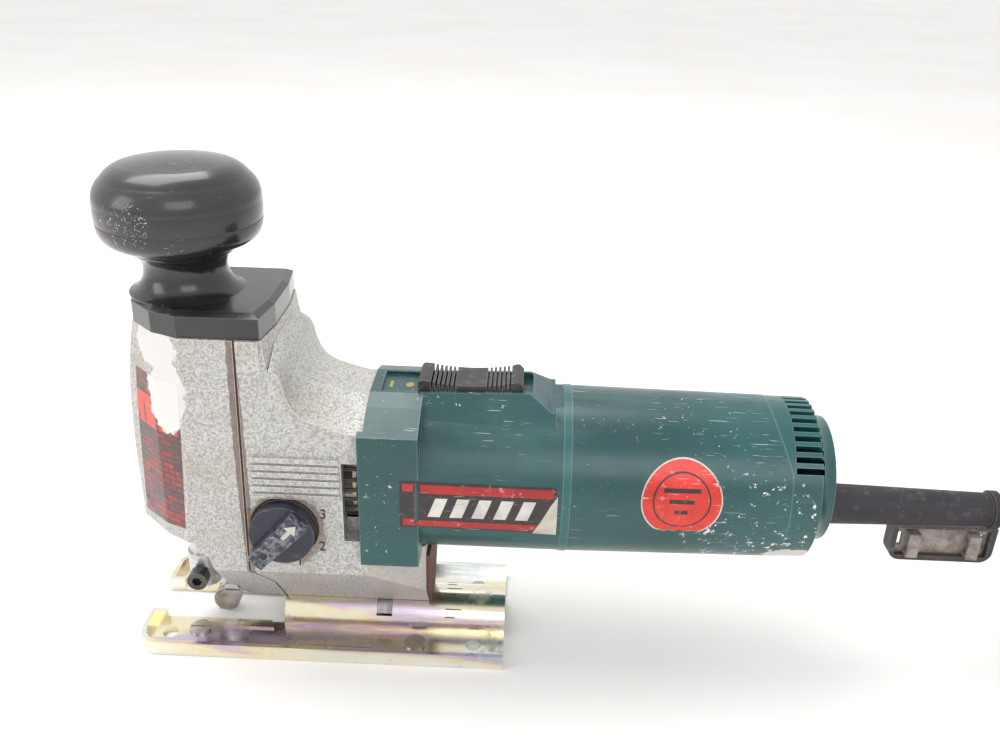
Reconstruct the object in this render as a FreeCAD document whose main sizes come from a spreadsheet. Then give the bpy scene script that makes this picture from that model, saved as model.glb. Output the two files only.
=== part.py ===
"""Barrel-grip jigsaw with a knob handle, modelled as a parametric assembly in millimetres.

Frame: X = 0, Y = 0 is the blade line, Z = 0 is the underside of the base plate. The tool's nose
looks along -X, the motor barrel and the cord run along +X, and Z points up. Every size that drives
the shape is a named cell of the sheet, and the features are bound to those cells.
"""

import FreeCAD, Part

import math
import os
import re

import Sketcher
from FreeCAD import Placement, Rotation, Vector

DIMENSIONS = {
    # Motor axis and the green barrel
    "motor_axis_z": 77.6,
    "barrel_radius": 33.0,
    "barrel_rear_radius": 31.9,
    "barrel_bore": 29.5,
    "motor_bore": 30.0,
    "flange_front_x": 73.0,
    "flange_rear_x": 95.4,
    "flange_low_z": 48.5,
    "motor_rear_x": 149.0,
    "ring_width": 3.0,
    "ring_radius": 33.3,
    "cap_joint_top_x": 226.0,
    "cap_joint_low_x": 233.5,
    "cap_rear_x": 251.5,
    "cap_wall": 3.0,
    "tie_y": 20.3,
    "switch_deck_z": 112.8,
    "switch_deck_half": 10.3,
    "deck_rear_x": 136.0,
    "deck_rear_z": 114.3,
    # Gear housing and nose cover
    "housing_half": 28.5,
    "nose_half": 28.0,
    "nose_low_z": 53.0,
    "nose_top_z": 139.0,
    "seam_top_x": 30.4,
    "seam_low_x": 28.4,
    "seam_low_z": 41.5,
    "seam_foot_x": 35.2,
    "seam_foot_z": 29.2,
    "seam_end_x": 36.0,
    "gasket_half": 0.5,
    "saddle_low_z": 13.5,
    "saddle_half": 6.6,
    "saddle_radius": 13.3,
    "flank_out_y": 40.0,
    "flank_out_z": 55.95,
    "wedge_rear_x": 96.7,
    "bulkhead_front_x": 31.0,
    "bulkhead_rear_x": 40.0,
    "lever_slot_half": 5.5,
    # Base plate
    "base_front_x": -21.0,
    "base_rear_x": 129.0,
    "base_half": 31.65,
    "rim_height": 6.0,
    "sheet_gauge": 2.0,
    "hump_front_x": 36.0,
    "hump_radius": 13.0,
    "slot_half": 10.0,
    "hole_front_x": -10.2,
    "hole_rear_x": 116.4,
    "hole_y": 20.4,
    "hole_radius": 3.1,
    "clamp_x": 78.2,
    "base_screw_x": 1.4,
    "base_screw_y": 17.1,
    "rivet_x": 92.3,
    "rivet_y": 21.2,
    # Knob
    "knob_x": 6.5,
    "bolt_x": 13.0,
    "plate_top_z": 147.0,
    "plate_crown_z": 148.5,
    "knob_seam_z": 175.3,
    "knob_seam_radius": 29.3,
    "knob_wide_radius": 29.5,
    "knob_top_z": 197.6,
    "knob_wall": 3.0,
    # Plunger and blade clamp
    "rod_radius": 5.5,
    "stem_radius": 4.0,
    "rod_low_z": 24.4,
    "rod_step_z": 89.0,
    "stem_top_z": 131.0,
    "clamp_radius": 6.5,
    "clamp_low_z": 15.5,
    "clamp_top_z": 31.0,
    "clamp_screw_z": 21.8,
    "bush_low_z": 55.0,
    "bush_low_top_z": 66.0,
    "wiper_top_z": 70.0,
    "bush_high_z": 121.0,
    "bush_high_top_z": 133.0,
    "bush_radius": 8.5,
    "running_gap": 0.03,
    # Crank and gears
    "gear_module": 0.8,
    "pinion_teeth": 10.0,
    "gear_teeth": 56.0,
    "gear_axis_z": 104.0,
    "gear_front_x": 20.0,
    "gear_rear_x": 29.0,
    "gear_room": 24.3,
    "spindle_radius": 5.0,
    "crank_throw": 10.0,
    "crank_drop": 8.5,
    "crank_pin_radius": 3.5,
    "crank_pin_front_x": 13.3,
    "yoke_front_x": 6.5,
    "yoke_rear_x": 13.0,
    "yoke_half": 17.5,
    "yoke_rise": 6.5,
    # Armature, bearings and motor internals
    "shaft_radius": 4.0,
    "shaft_nose_radius": 2.2,
    "pinion_front_x": 18.0,
    "bearing_radius": 11.0,
    "bearing_width": 7.0,
    "front_bearing_x": 33.0,
    "rear_bearing_x": 186.0,
    "fan_front_x": 61.0,
    "fan_rear_x": 71.0,
    "fan_radius": 23.4,
    "fan_room": 25.0,
    "stator_front_x": 104.0,
    "stator_rear_x": 146.0,
    "stator_bore": 15.5,
    "window_y": 15.5,
    "armature_radius": 14.9,
    "commutator_radius": 10.0,
    "commutator_x": 158.0,
    "commutator_end_x": 172.0,
    "brush_x": 165.0,
    # Orbit selector and support roller
    "orbit_x": 43.6,
    "orbit_z": 62.3,
    "orbit_knob_radius": 12.4,
    "orbit_shaft_radius": 4.0,
    "pivot_x": 15.0,
    "pivot_z": 20.0,
    "roller_x": 8.5,
    "roller_z": 6.0,
    "roller_radius": 5.5,
    # Sliding switch
    "slider_front_x": 93.0,
    "slider_rear_x": 133.2,
    "slider_low_z": 111.6,
    "slider_half": 8.5,
    "deck_floor_z": 111.3,
    "bar_top_z": 106.4,
    # Cord, sleeve and plug
    "sleeve_z": 65.5,
    "sleeve_end_x": 325.0,
    "cord_exit_x": 345.0,
    "cord_radius": 3.7,
    "coil_x": 396.0,
    "coil_y": -20.0,
    "coil_mean_radius": 37.5,
    "plug_x": 426.0,
    "plug_y": 24.9,
    "plug_z": 8.5,
    "pin_radius": 2.4,
    "pin_spacing": 19.0,
}

# The free cord's route, from the sleeve down to its storage coil, and from the coil to the plug.
CORD_ROUTE = [
    (345, 0, 65.5),
    (368, 0, 65.5),
    (391, 5, 55.5),
    (413, 6, 41),
    (431, -3, 28),
    (440.6, -22, 20.5),
    (437.6, -45.5, 18.4),
]
TAIL_ROUTE = [
    (379, 22.5, 3.7),
    (393, 25.2, 3.7),
    (406, 24.9, 5.6),
    (417, 24.9, 8.5),
    (426, 24.9, 8.5),
]
ARC_SHARE = 0.45

doc = FreeCAD.newDocument("Jigsaw")
sheet = doc.addObject("Spreadsheet::Sheet", "Dimensions")
for row, (alias, size) in enumerate(DIMENSIONS.items(), start=1):
    sheet.set(f"A{row}", alias)
    sheet.set(f"B{row}", str(size))
    sheet.setAlias(f"B{row}", alias)
doc.recompute()

ALIAS = re.compile(r"\b[a-z]+(?:_[a-z0-9]+)+\b")
PLANES = {"XY": "XY_Plane", "XZ": "XZ_Plane", "YZ": "YZ_Plane"}
TURNING = {"X": ("XZ", "H_Axis"), "Y": ("XY", "V_Axis"), "Z": ("XZ", "V_Axis")}
UPRIGHT = {
    "+X": Rotation(Vector(0, 1, 0), 90),
    "-X": Rotation(Vector(0, 1, 0), -90),
    "+Y": Rotation(Vector(1, 0, 0), -90),
    "-Y": Rotation(Vector(1, 0, 0), 90),
    "+Z": Rotation(),
    "-Z": Rotation(Vector(1, 0, 0), 180),
}
nodes = {}
cuts = []


def number(size):
    """The value of a plain number or of an expression of the sheet's aliases."""
    return float(sheet.evalExpression(str(size)))


def bind(thing, path, size):
    """Bind one property of a document object to an expression of the sheet's aliases."""
    linked = ALIAS.sub(lambda found: "Dimensions." + found.group(0), str(size))
    thing.setExpression(path, linked)


def place(thing, at, rotation=None):
    """Set a document object's rotation, and bind its position to the sheet."""
    thing.Placement = Placement(Vector(*[number(size) for size in at]), rotation or Rotation())
    for axis, size in zip("xyz", at):
        bind(thing, f"Placement.Base.{axis}", size)


def arc_edge(start, end, radius):
    """A circle arc between two points, as drawn anticlockwise, and its two ends' numbers."""
    chord = end - start
    side = Vector(-chord.y, chord.x, 0) / chord.Length
    rise = math.sqrt(max(radius * radius - chord.Length * chord.Length / 4, 0.0))
    centre = (start + end) / 2 + side * math.copysign(rise, radius)
    first, last = (start, end) if radius > 0 else (end, start)
    angles = [math.atan2(point.y - centre.y, point.x - centre.x) for point in (first, last)]
    circle = Part.Circle(centre, Vector(0, 0, 1), abs(radius))
    arc = Part.ArcOfCircle(circle, angles[0], angles[1])
    return arc, (1, 2) if radius > 0 else (2, 1)


class Piece:
    """One sub-part as a PartDesign body: its sketches, pads, cuts and turned features."""

    def __init__(self, name, at=(0, 0, 0), rotation=None):
        self.body = doc.addObject("PartDesign::Body", name)
        self.body.Label = name
        self.at = at
        self.rotation = rotation
        self.count = 0

    def label(self, kind):
        self.count += 1
        return f"{self.body.Name}_{kind}{self.count}"

    def sketch(self, plane, level=0):
        """An empty sketch on one of the body's origin planes, at a level along its normal."""
        origin = [part for part in self.body.Origin.OriginFeatures if part.Role == PLANES[plane]][0]
        drawing = self.body.newObject("Sketcher::SketchObject", self.label("sketch"))
        drawing.AttachmentSupport = [(origin, "")]
        drawing.MapMode = "FlatFace"
        toward = f"-({level})" if plane == "XZ" else level
        drawing.AttachmentOffset = Placement(Vector(0, 0, number(toward)), Rotation())
        bind(drawing, "AttachmentOffset.Base.z", toward)
        return drawing

    def draw_outline(self, drawing, points):
        """A closed outline. A third value on a point is the radius of the arc that leaves it."""
        ends = [Vector(number(point[0]), number(point[1]), 0) for point in points]
        edges = []
        for index, point in enumerate(points):
            start = ends[index]
            end = ends[(index + 1) % len(points)]
            if len(point) == 3:
                shape, turn = arc_edge(start, end, number(point[2]))
            else:
                shape, turn = Part.LineSegment(start, end), (1, 2)
            edges.append((drawing.addGeometry(shape, False), turn))
        for index, (edge, turn) in enumerate(edges):
            following, next_turn = edges[(index + 1) % len(edges)]
            drawing.addConstraint(
                Sketcher.Constraint("Coincident", edge, turn[1], following, next_turn[0])
            )
        for index, (edge, turn) in enumerate(edges):
            for kind, size, value in (
                ("DistanceX", points[index][0], ends[index].x),
                ("DistanceY", points[index][1], ends[index].y),
            ):
                rule = drawing.addConstraint(Sketcher.Constraint(kind, -1, 1, edge, turn[0], value))
                bind(drawing, f"Constraints[{rule}]", size)
            if len(points[index]) == 3:
                radius = points[index][2]
                value = abs(number(radius))
                rule = drawing.addConstraint(Sketcher.Constraint("Radius", edge, value))
                bind(drawing, f"Constraints[{rule}]", f"abs({radius})")
        return drawing

    def draw_circle(self, drawing, circle):
        """A circle given as its centre's two places and its radius."""
        centre = Vector(number(circle[0]), number(circle[1]), 0)
        radius = number(circle[2])
        edge = drawing.addGeometry(Part.Circle(centre, Vector(0, 0, 1), radius), False)
        for kind, size, value in (
            ("DistanceX", circle[0], centre.x),
            ("DistanceY", circle[1], centre.y),
        ):
            rule = drawing.addConstraint(Sketcher.Constraint(kind, -1, 1, edge, 3, value))
            bind(drawing, f"Constraints[{rule}]", size)
        rule = drawing.addConstraint(Sketcher.Constraint("Radius", edge, radius))
        bind(drawing, f"Constraints[{rule}]", circle[2])

    def prism(self, plane, low, high, outline=None, circles=(), cut=False):
        """Add or cut the outline and circles between two levels along the plane's normal."""
        starts_high = (plane == "XZ") != cut
        drawing = self.sketch(plane, high if starts_high else low)
        if outline:
            self.draw_outline(drawing, outline)
        for circle in circles:
            self.draw_circle(drawing, circle)
        kind = "Pocket" if cut else "Pad"
        feature = self.body.newObject(f"PartDesign::{kind}", self.label(kind.lower()))
        feature.Profile = drawing
        bind(feature, "Length", f"({high}) - ({low})")
        return self.keep(feature, cut)

    def turned(self, axis, outline, cut=False, angle=360):
        """Revolve an outline of (along, radius) or (radius, along) points about a body axis."""
        plane, line = TURNING[axis]
        drawing = self.draw_outline(self.sketch(plane), outline)
        kind = "Groove" if cut else "Revolution"
        feature = self.body.newObject(f"PartDesign::{kind}", self.label(kind.lower()))
        feature.Profile = drawing
        feature.ReferenceAxis = (drawing, [line])
        feature.Angle = angle
        feature.Midplane = angle != 360
        return self.keep(feature, cut)

    def loft(self, plane, sections):
        """Join outlines at several levels along the plane's normal into one solid."""
        drawings = [self.draw_outline(self.sketch(plane, level), line) for level, line in sections]
        feature = self.body.newObject("PartDesign::AdditiveLoft", self.label("loft"))
        feature.Profile = drawings[0]
        feature.Sections = drawings[1:]
        return self.keep(feature, False)

    def repeat(self, feature, count, axis_role):
        """Repeat a feature evenly round one of the body's own axes."""
        line = [part for part in self.body.Origin.OriginFeatures if part.Role == axis_role][0]
        pattern = self.body.newObject("PartDesign::PolarPattern", self.label("polar"))
        pattern.Originals = [feature]
        pattern.Axis = (line, [""])
        pattern.Angle = 360
        pattern.Occurrences = count
        self.body.Tip = pattern
        return pattern

    def soften(self, radius, wanted, kind="Fillet"):
        """Fillet or chamfer the edges for which wanted(edge) is true."""
        doc.recompute()
        base = self.body.Tip
        names = [
            f"Edge{index}" for index, edge in enumerate(base.Shape.Edges, start=1) if wanted(edge)
        ]
        feature = self.body.newObject(f"PartDesign::{kind}", self.label(kind.lower()))
        feature.Base = (base, names)
        bind(feature, "Radius" if kind == "Fillet" else "Size", radius)
        return self.keep(feature, False)

    def keep(self, feature, cut):
        self.body.Tip = feature
        if cut:
            cuts.append(feature)
        return feature

    def finish(self, alone=True):
        """Move the finished body to its place, and name it as a sub-part unless it joins a group."""
        place(self.body, self.at, self.rotation)
        if alone:
            nodes[self.body.Label] = self.body
        return self.body


def box_outline(low_a, low_b, high_a, high_b):
    """A rectangle's four corners, anticlockwise."""
    return [(low_a, low_b), (high_a, low_b), (high_a, high_b), (low_a, high_b)]


def tilted_box(turn, low_a, low_b, high_a, high_b):
    """A rectangle turned about the origin, its second axis leaning towards the first."""
    corners = box_outline(low_a, low_b, high_a, high_b)
    side, rise = math.sin(turn), math.cos(turn)
    return [(a * rise + b * side, b * rise - a * side) for a, b in corners]


def mirrored_across(points):
    """The same outline on the other side of the sketch's first axis."""
    return [(along, f"-({across})") for along, across in reversed(points)]


def mirrored(points):
    """The same outline on the other side of the sketch's second axis."""
    return [(f"-({point[0]})",) + tuple(point[1:]) for point in reversed(points)]


def turned_piece(name, axis, at, outline):
    """A sub-part that is one turned body."""
    piece = Piece(name, at)
    piece.turned(axis, outline)
    return piece


def drilled_ring(name, axis, at, low, high, inner, outer):
    """A plain ring, bush or washer about an axis through its place."""
    outline = box_outline(low, inner, high, outer)
    if axis != "X":
        outline = box_outline(inner, low, outer, high)
    return turned_piece(name, axis, at, outline)


def flank_cut(piece, low_x, high_x, inset=0):
    """Slope both lower flanks, so that the base plate can tilt 45 degrees under them."""
    flank = [
        (f"saddle_half - {inset}", "saddle_low_z - 0.2"),
        ("saddle_half + 0.1", -5),
        ("flank_out_y", -5),
        (f"flank_out_y - {inset}", "flank_out_z"),
    ]
    piece.prism("YZ", low_x, high_x, flank, cut=True)
    piece.prism("YZ", low_x, high_x, mirrored(flank), cut=True)


def seam_line(shift):
    """The joint between nose cover and gear housing in side view, from the top down."""
    return [
        (f"seam_top_x + {shift}", "nose_top_z"),
        (f"seam_low_x + {shift}", "seam_low_z"),
        (f"seam_foot_x + {shift}", "seam_foot_z"),
        (f"seam_end_x + {shift}", "saddle_low_z - 0.2"),
    ]


COVER_SCREWS = [(-20, 51.5), (20, 51.5), (-22, 119.5), (22, 119.5)]


def nose_cover():
    """Cast front cover: a bulged nose with two facets, and the cheeks round the roller."""
    piece = Piece("nose_cover")
    sections = []
    for level, front, middle, facet in (
        ("nose_low_z", -18.4, -4.2, 5.0),
        ("motor_axis_z", -18.5, -3.8, 7.0),
        (110, -17.2, -2.6, 9.0),
        ("nose_top_z", -12.4, -0.6, 10.5),
    ):
        half = [
            (f"{front} - 1", -4),
            (front, -9),
            (middle, -22.5),
            (facet, "-nose_half"),
            (33, "-nose_half"),
        ]
        sections.append((level, half + mirrored_across(half)))
    piece.loft("XY", sections)
    cheeks = [
        (7.5, "nose_low_z + 1"),
        (8.2, 49),
        (12.5, 46.5),
        (14.5, 40),
        (15, 20),
        (20.5, "saddle_low_z - 0.2"),
        (36.5, "saddle_low_z - 0.2"),
        (36.5, "nose_low_z + 1"),
    ]
    piece.prism("XZ", "-nose_half", "nose_half", cheeks)
    behind = seam_line("-gasket_half") + [(60, 10), (60, 141), ("seam_top_x", 141)]
    piece.prism("XZ", -40, 40, behind, cut=True)
    flank_cut(piece, -30, 60)
    sink_cavities(piece)
    piece.prism("XY", "nose_low_z - 5", "bush_low_z", circles=[(0, 0, 9)], cut=True)
    piece.prism("XY", "bush_low_z", "wiper_top_z", circles=[(0, 0, "bush_radius")], cut=True)
    piece.prism("XY", "wiper_top_z", "bush_high_z", circles=[(0, 0, 12)], cut=True)
    piece.prism("XY", "bush_high_z", "bush_high_top_z", circles=[(0, 0, "bush_radius")], cut=True)
    piece.prism("XY", "bush_high_top_z", 145, circles=[(0, 0, 5)], cut=True)
    piece.prism("XY", 126, 145, circles=[("bolt_x", 0, 3)], cut=True)
    yoke_room = box_outline(5, -19.5, 17.5, 19.5)
    piece.prism("XY", 82, "bush_high_z", yoke_room, cut=True)
    pivot = [("pivot_x", "pivot_z", 2.02)]
    piece.prism("XZ", -20, 20, circles=pivot, cut=True)
    piece.prism("XZ", -20, -11.5, circles=[("pivot_x", "pivot_z", 3.6)], cut=True)
    for across, height in COVER_SCREWS:
        piece.prism("YZ", 11.5, 31, circles=[(across, height, 2)], cut=True)
    piece.finish()


def sink_cavities(piece):
    """The gear room, the pinion's room and the roller lever's slot, shared across the seam."""
    rooms = [(0, "gear_axis_z", "gear_room")]
    piece.prism("YZ", 17, "bulkhead_front_x", circles=rooms, cut=True)
    piece.prism("YZ", 17, "bulkhead_front_x", circles=[(0, "motor_axis_z", 7)], cut=True)
    lever = box_outline(7.5, 0, "bulkhead_rear_x", 66)
    piece.prism("XZ", "-lever_slot_half", "lever_slot_half", lever, cut=True)


def housing_gasket():
    """Seal between nose cover and gear housing, set back from their faces."""
    piece = Piece("housing_gasket")
    band = seam_line("gasket_half") + seam_line("-gasket_half")[::-1]
    piece.prism("XZ", "-nose_half + 0.7", "nose_half - 0.7", band)
    flank_cut(piece, 20, 60, inset=0.9)
    sink_cavities(piece)
    for across, height in COVER_SCREWS:
        piece.prism("YZ", 20, 40, circles=[(across, height, 2.2)], cut=True)
    piece.prism("YZ", 20, 45, circles=[(0, "sheet_gauge", "saddle_radius")], cut=True)
    piece.finish()


def gear_housing():
    """Cast gear housing: bulkhead, fan room, saddle for the base plate and raised side pads."""
    piece = Piece("gear_housing")
    outline = seam_line("gasket_half") + [
        ("wedge_rear_x", "saddle_low_z - 0.2"),
        ("wedge_rear_x", "flange_low_z"),
        (75, "flange_low_z"),
        (75, 98),
        (39, 98),
        (39, "nose_top_z"),
    ]
    piece.prism("XZ", "-housing_half", "housing_half", outline)
    collar = []
    for level, rear, half in (
        (97, 54, 28.5),
        (112, 47.8, 28.5),
        (124, 44.4, 28.2),
        ("nose_top_z", 42, 27.5),
    ):
        plan = [(31, f"-{half}"), (rear - 2, f"-{half}"), (rear, -12)]
        collar.append((level, plan + mirrored_across(plan)))
    piece.loft("XY", collar)
    roof = []
    for along, low in ((42, 128), (46.4, 122.8), (49, 114.3), (53.5, 109.4), (61.2, 106), (75, 103.2)):
        top = [("housing_half", 96), ("housing_half", low), (18, low + 5.8), (9, low + 7.7)]
        roof.append((along, top + mirrored(top)))
    piece.loft("YZ", roof)
    flank_cut(piece, 25, 100)
    saddle = [(0, "sheet_gauge", "saddle_radius")]
    piece.prism("YZ", 20, 100, circles=saddle, cut=True)
    taper = [(75, "-housing_half - 0.1"), (98, -40), (98, -16.5), ("wedge_rear_x", -17)]
    piece.prism("XY", 0, 50, taper, cut=True)
    piece.prism("XY", 0, 50, [(x, f"-({y})") for x, y in reversed(taper)], cut=True)
    barrel = [(0, "motor_axis_z", "barrel_radius")]
    piece.prism("YZ", "flange_rear_x - 1", 100, circles=barrel, cut=True)
    sink_cavities(piece)
    hollow = [
        ("bulkhead_rear_x", 44),
        (60, 44),
        (60, 99),
        (50, 102),
        (44, 112),
        ("bulkhead_rear_x", 114),
    ]
    piece.prism("XZ", -24, 24, hollow, cut=True)
    lever_tail = box_outline("bulkhead_rear_x", 34, 52, 45)
    piece.prism("XZ", -8, 8, lever_tail, cut=True)
    axis = (0, "motor_axis_z")
    piece.prism("YZ", 59, 76, circles=[axis + ("fan_room",)], cut=True)
    piece.prism("YZ", 30, 42, circles=[axis + (8,)], cut=True)
    piece.prism("YZ", "front_bearing_x", 42, circles=[axis + ("bearing_radius",)], cut=True)
    piece.prism("YZ", 30, 42, circles=[(0, "gear_axis_z", "spindle_radius")], cut=True)
    vent = box_outline(66.4, 57, 76, 91.3)
    piece.prism("XZ", -30, -20, vent, cut=True)
    piece.prism("XZ", 20, 30, vent, cut=True)
    for across, height in COVER_SCREWS:
        piece.prism("YZ", 28, 42, circles=[(across, height, 2)], cut=True)
        if height > 100:
            piece.prism("YZ", "bulkhead_rear_x", 43.2, circles=[(across, height, 3.7)], cut=True)
    shaft = [("orbit_x", "orbit_z", "orbit_shaft_radius + running_gap")]
    piece.prism("XZ", -30, -2, circles=shaft, cut=True)
    piece.prism("XZ", -24.2, -22, circles=[("orbit_x", "orbit_z", 7.2)], cut=True)
    piece.prism("XY", 10, 30, circles=[("clamp_x", 0, 3)], cut=True)
    for rib in range(6):
        height = 75.6 + 3.1 * rib
        ridge = box_outline(32.6, height, 65.6, height + 2.0)
        piece.prism("XZ", "-housing_half - 1.1", "-housing_half + 0.5", ridge)
        piece.prism("XZ", "housing_half - 0.5", "housing_half + 1.1", ridge)
    piece.finish()


def knob_plate_outline(inset):
    """The knob plate in plan, from the knob's own axis: a tapered nose and clipped rear corners."""
    half = [
        (-12.8 + inset, -6),
        (-10.6 + inset, -12.8),
        (-0.6 + 0.4 * inset, -22.8 + inset),
        (10, -27 + inset),
        (39.6 - inset, -27 + inset),
        (41.6 - inset, -11),
    ]
    whole = half + [(x, -y) for x, y in reversed(half)]
    return [(f"{x} - knob_x", y) for x, y in whole]


def knob_base():
    """Lower half of the black knob: its plate, waist and skirt in one moulding."""
    piece = Piece("knob_base", ("knob_x", 0, 0))
    piece.prism("XY", "nose_top_z", "plate_top_z", knob_plate_outline(0))
    levels = [("plate_top_z", knob_plate_outline(0)), ("plate_crown_z", knob_plate_outline(2.5))]
    piece.loft("XY", levels)
    outline = [
        (0, "plate_crown_z - 0.5"),
        (21, "plate_crown_z - 0.5"),
        (21, "plate_crown_z", -9),
        (15.2, 156.5, -7),
        (18.6, 163.6, -4),
        (22.5, 166),
        (26.5, 168.2, 8),
        ("knob_seam_radius", "knob_seam_z"),
        ("knob_seam_radius - knob_wall", "knob_seam_z"),
        (23.5, 171.5),
        (0, 168),
    ]
    piece.turned("Z", outline)
    bolt = ("bolt_x - knob_x", 0)
    piece.prism("XY", 160, 175, circles=[bolt + (5.2,)], cut=True)
    piece.prism("XY", "nose_top_z - 1", 170, circles=[bolt + (3,)], cut=True)
    piece.prism("XY", "nose_top_z - 1", 151.5, circles=[("-knob_x", 0, 5)], cut=True)
    piece.finish()


def knob_cap():
    """Domed top shell of the knob."""
    crown = 19.5
    outline = [
        ("knob_seam_radius - knob_wall", "knob_seam_z"),
        ("knob_seam_radius", "knob_seam_z", 24),
        ("knob_wide_radius", 182, 10.5),
        (25.8, 190.8, 12),
        (crown, 195.2, f"({crown} ^ 2 + (knob_top_z - 195.2) ^ 2) / (2 * (knob_top_z - 195.2))"),
        (0, "knob_top_z"),
        (0, "knob_top_z - knob_wall"),
        (18, "knob_top_z - knob_wall - 3"),
        ("knob_wide_radius - knob_wall", 182),
    ]
    piece = turned_piece("knob_cap", "Z", ("knob_x", 0, 0), outline)
    piece.finish()


def hex_screw(name, at, facing, shank, length, head, height, socket):
    """A socket-head screw. Its place is the head's underside, and it faces its head's top."""
    parts = []
    for kind, radius, size, low in (("shank", shank, length, f"-({length})"), ("head", head, height, 0)):
        rod = doc.addObject("Part::Cylinder", f"{name}_{kind}")
        bind(rod, "Radius", radius)
        bind(rod, "Height", size)
        place(rod, (0, 0, low))
        parts.append(rod)
    solid = doc.addObject("Part::MultiFuse", f"{name}_solid")
    solid.Shapes = parts
    key = doc.addObject("Part::Prism", f"{name}_key")
    key.Polygon = 6
    bind(key, "Circumradius", socket)
    bind(key, "Height", height)
    place(key, (0, 0, f"({height}) * 0.4"))
    screw = doc.addObject("Part::Cut", f"{name}_cut")
    screw.Base = solid
    screw.Tool = key
    place(screw, at, UPRIGHT[facing])
    return screw


def slot_screw(name, at, facing, shank, length, head, height, slot):
    """A slotted screw or, with no slot, a plain-headed rivet."""
    parts = []
    for kind, radius, size, low in (("shank", shank, length, f"-({length})"), ("head", head, height, 0)):
        rod = doc.addObject("Part::Cylinder", f"{name}_{kind}")
        bind(rod, "Radius", radius)
        bind(rod, "Height", size)
        place(rod, (0, 0, low))
        parts.append(rod)
    solid = doc.addObject("Part::MultiFuse", f"{name}_solid")
    solid.Shapes = parts
    if not slot:
        place(solid, at, UPRIGHT[facing])
        return solid
    notch = doc.addObject("Part::Box", f"{name}_notch")
    bind(notch, "Length", f"2.2 * ({head})")
    bind(notch, "Width", slot)
    bind(notch, "Height", height)
    place(notch, (f"-1.1 * ({head})", f"-({slot}) / 2", f"({height}) * 0.4"))
    screw = doc.addObject("Part::Cut", f"{name}_cut")
    screw.Base = solid
    screw.Tool = notch
    place(screw, at, UPRIGHT[facing])
    return screw


def single(name, thing):
    """Register a one-solid sub-part under its own label."""
    thing.Label = name
    nodes[name] = thing


def group(name, members):
    """Register several equal solids as one sub-part."""
    bundle = doc.addObject("Part::Compound", f"{name}_group")
    bundle.Links = members
    bundle.Label = name
    nodes[name] = bundle


def fasteners():
    """Screws and rivets, equal ones grouped under one name."""
    members = []
    for index, (across, height) in enumerate(COVER_SCREWS):
        at = ("bulkhead_rear_x", across, height)
        members.append(hex_screw(f"cover_screw{index}", at, "+X", 2, 28, 3.5, 3, 1.7))
    group("cover_screws", members)
    knob_bolt = hex_screw("knob_bolt_part", ("bolt_x", 0, 160), "+Z", 3, 33, 5, 5, 2.9)
    single("knob_bolt", knob_bolt)
    at = ("clamp_x", 0, 7.3)
    single("base_clamp_screw", hex_screw("clamp_bolt", at, "-Z", 3, 20, 5, 4, 2.9))
    at = (0, -6.6, "clamp_screw_z")
    single("clamp_screw", hex_screw("blade_bolt", at, "-Y", 2.4, 5.4, 4.2, 5.2, 2.3))
    at = ("pivot_x", -11.5, "pivot_z")
    single("lever_pivot_screw", slot_screw("pivot_bolt", at, "-Y", 2, 23, 3.2, 2, 1))
    screws = []
    rivets = []
    for side in (-1, 1):
        at = ("base_screw_x", f"{side} * base_screw_y", "sheet_gauge")
        screws.append(slot_screw(f"base_screw{side + 1}", at, "+Z", 2.5, 1.6, 4.5, 1.1, 1.3))
        at = ("rivet_x", f"{side} * rivet_y", "sheet_gauge")
        rivets.append(slot_screw(f"base_rivet{side + 1}", at, "+Z", 2.5, 1.6, 4.5, 1.4, 0))
    group("base_screws", screws)
    group("base_rivets", rivets)
    ties = []
    for side in (-1, 1):
        at = ("cap_rear_x - 2.2", f"{side} * tie_y", "motor_axis_z")
        ties.append(hex_screw(f"tie_screw{side + 1}", at, "+X", 2, 61, 3.4, 2, 1.7))
    group("tie_screws", ties)


def motor_housing():
    """Green front motor shell: faceted flange, round body and raised switch deck."""
    piece = Piece("motor_housing")
    flange = [
        (0, "flange_low_z"),
        (31.6, "flange_low_z"),
        (31.6, 104.3),
        (19, 110.6),
        ("switch_deck_half", "switch_deck_z"),
        (0, "switch_deck_z"),
    ]
    whole = flange + [(f"-({across})", height) for across, height in reversed(flange[1:-1])]
    piece.prism("YZ", "flange_front_x", "flange_rear_x", whole)
    axis = (0, "motor_axis_z")
    piece.prism("YZ", "flange_rear_x - 1", "motor_rear_x", circles=[axis + ("barrel_radius",)])
    rise = []
    for along, height in (("flange_rear_x - 1", "switch_deck_z + 0.3"), (146, "deck_rear_z + 0.3")):
        facets = [(25, 98), ("switch_deck_half", height)]
        rise.append((along, facets + mirrored(facets)))
    piece.loft("YZ", rise)
    tail = [("deck_rear_x", 118), ("deck_rear_x", "deck_rear_z"), (144, 109), (150, 109), (150, 118)]
    piece.prism("XZ", -30, 30, tail, cut=True)
    piece.prism("YZ", 75, 150, circles=[axis + ("motor_bore",)], cut=True)
    piece.prism("YZ", 70, "flange_rear_x", circles=[axis + ("fan_room",)], cut=True)
    front = box_outline(60, -29, 75, 29)
    piece.prism("XY", 40, 120, front, cut=True)
    recess = box_outline(79, "-slider_half - 0.5", "deck_rear_x + 1", "slider_half + 0.5")
    piece.prism("XY", "deck_floor_z", 120, recess, cut=True)
    piece.prism("XY", 100, 113, box_outline(101.2, -4, 118.6, 4), cut=True)
    piece.finish()


def cut_at_cap_joint(piece, behind):
    """Cut a shell along the slanted joint between the barrel and its end cap."""
    line = [("cap_joint_top_x", 36), ("cap_joint_low_x", 16), ("cap_joint_low_x", -45)]
    far = 275 if behind else 200
    piece.prism("XZ", -40, 40, line + [(far, -45), (far, 36)], cut=True)


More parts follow.
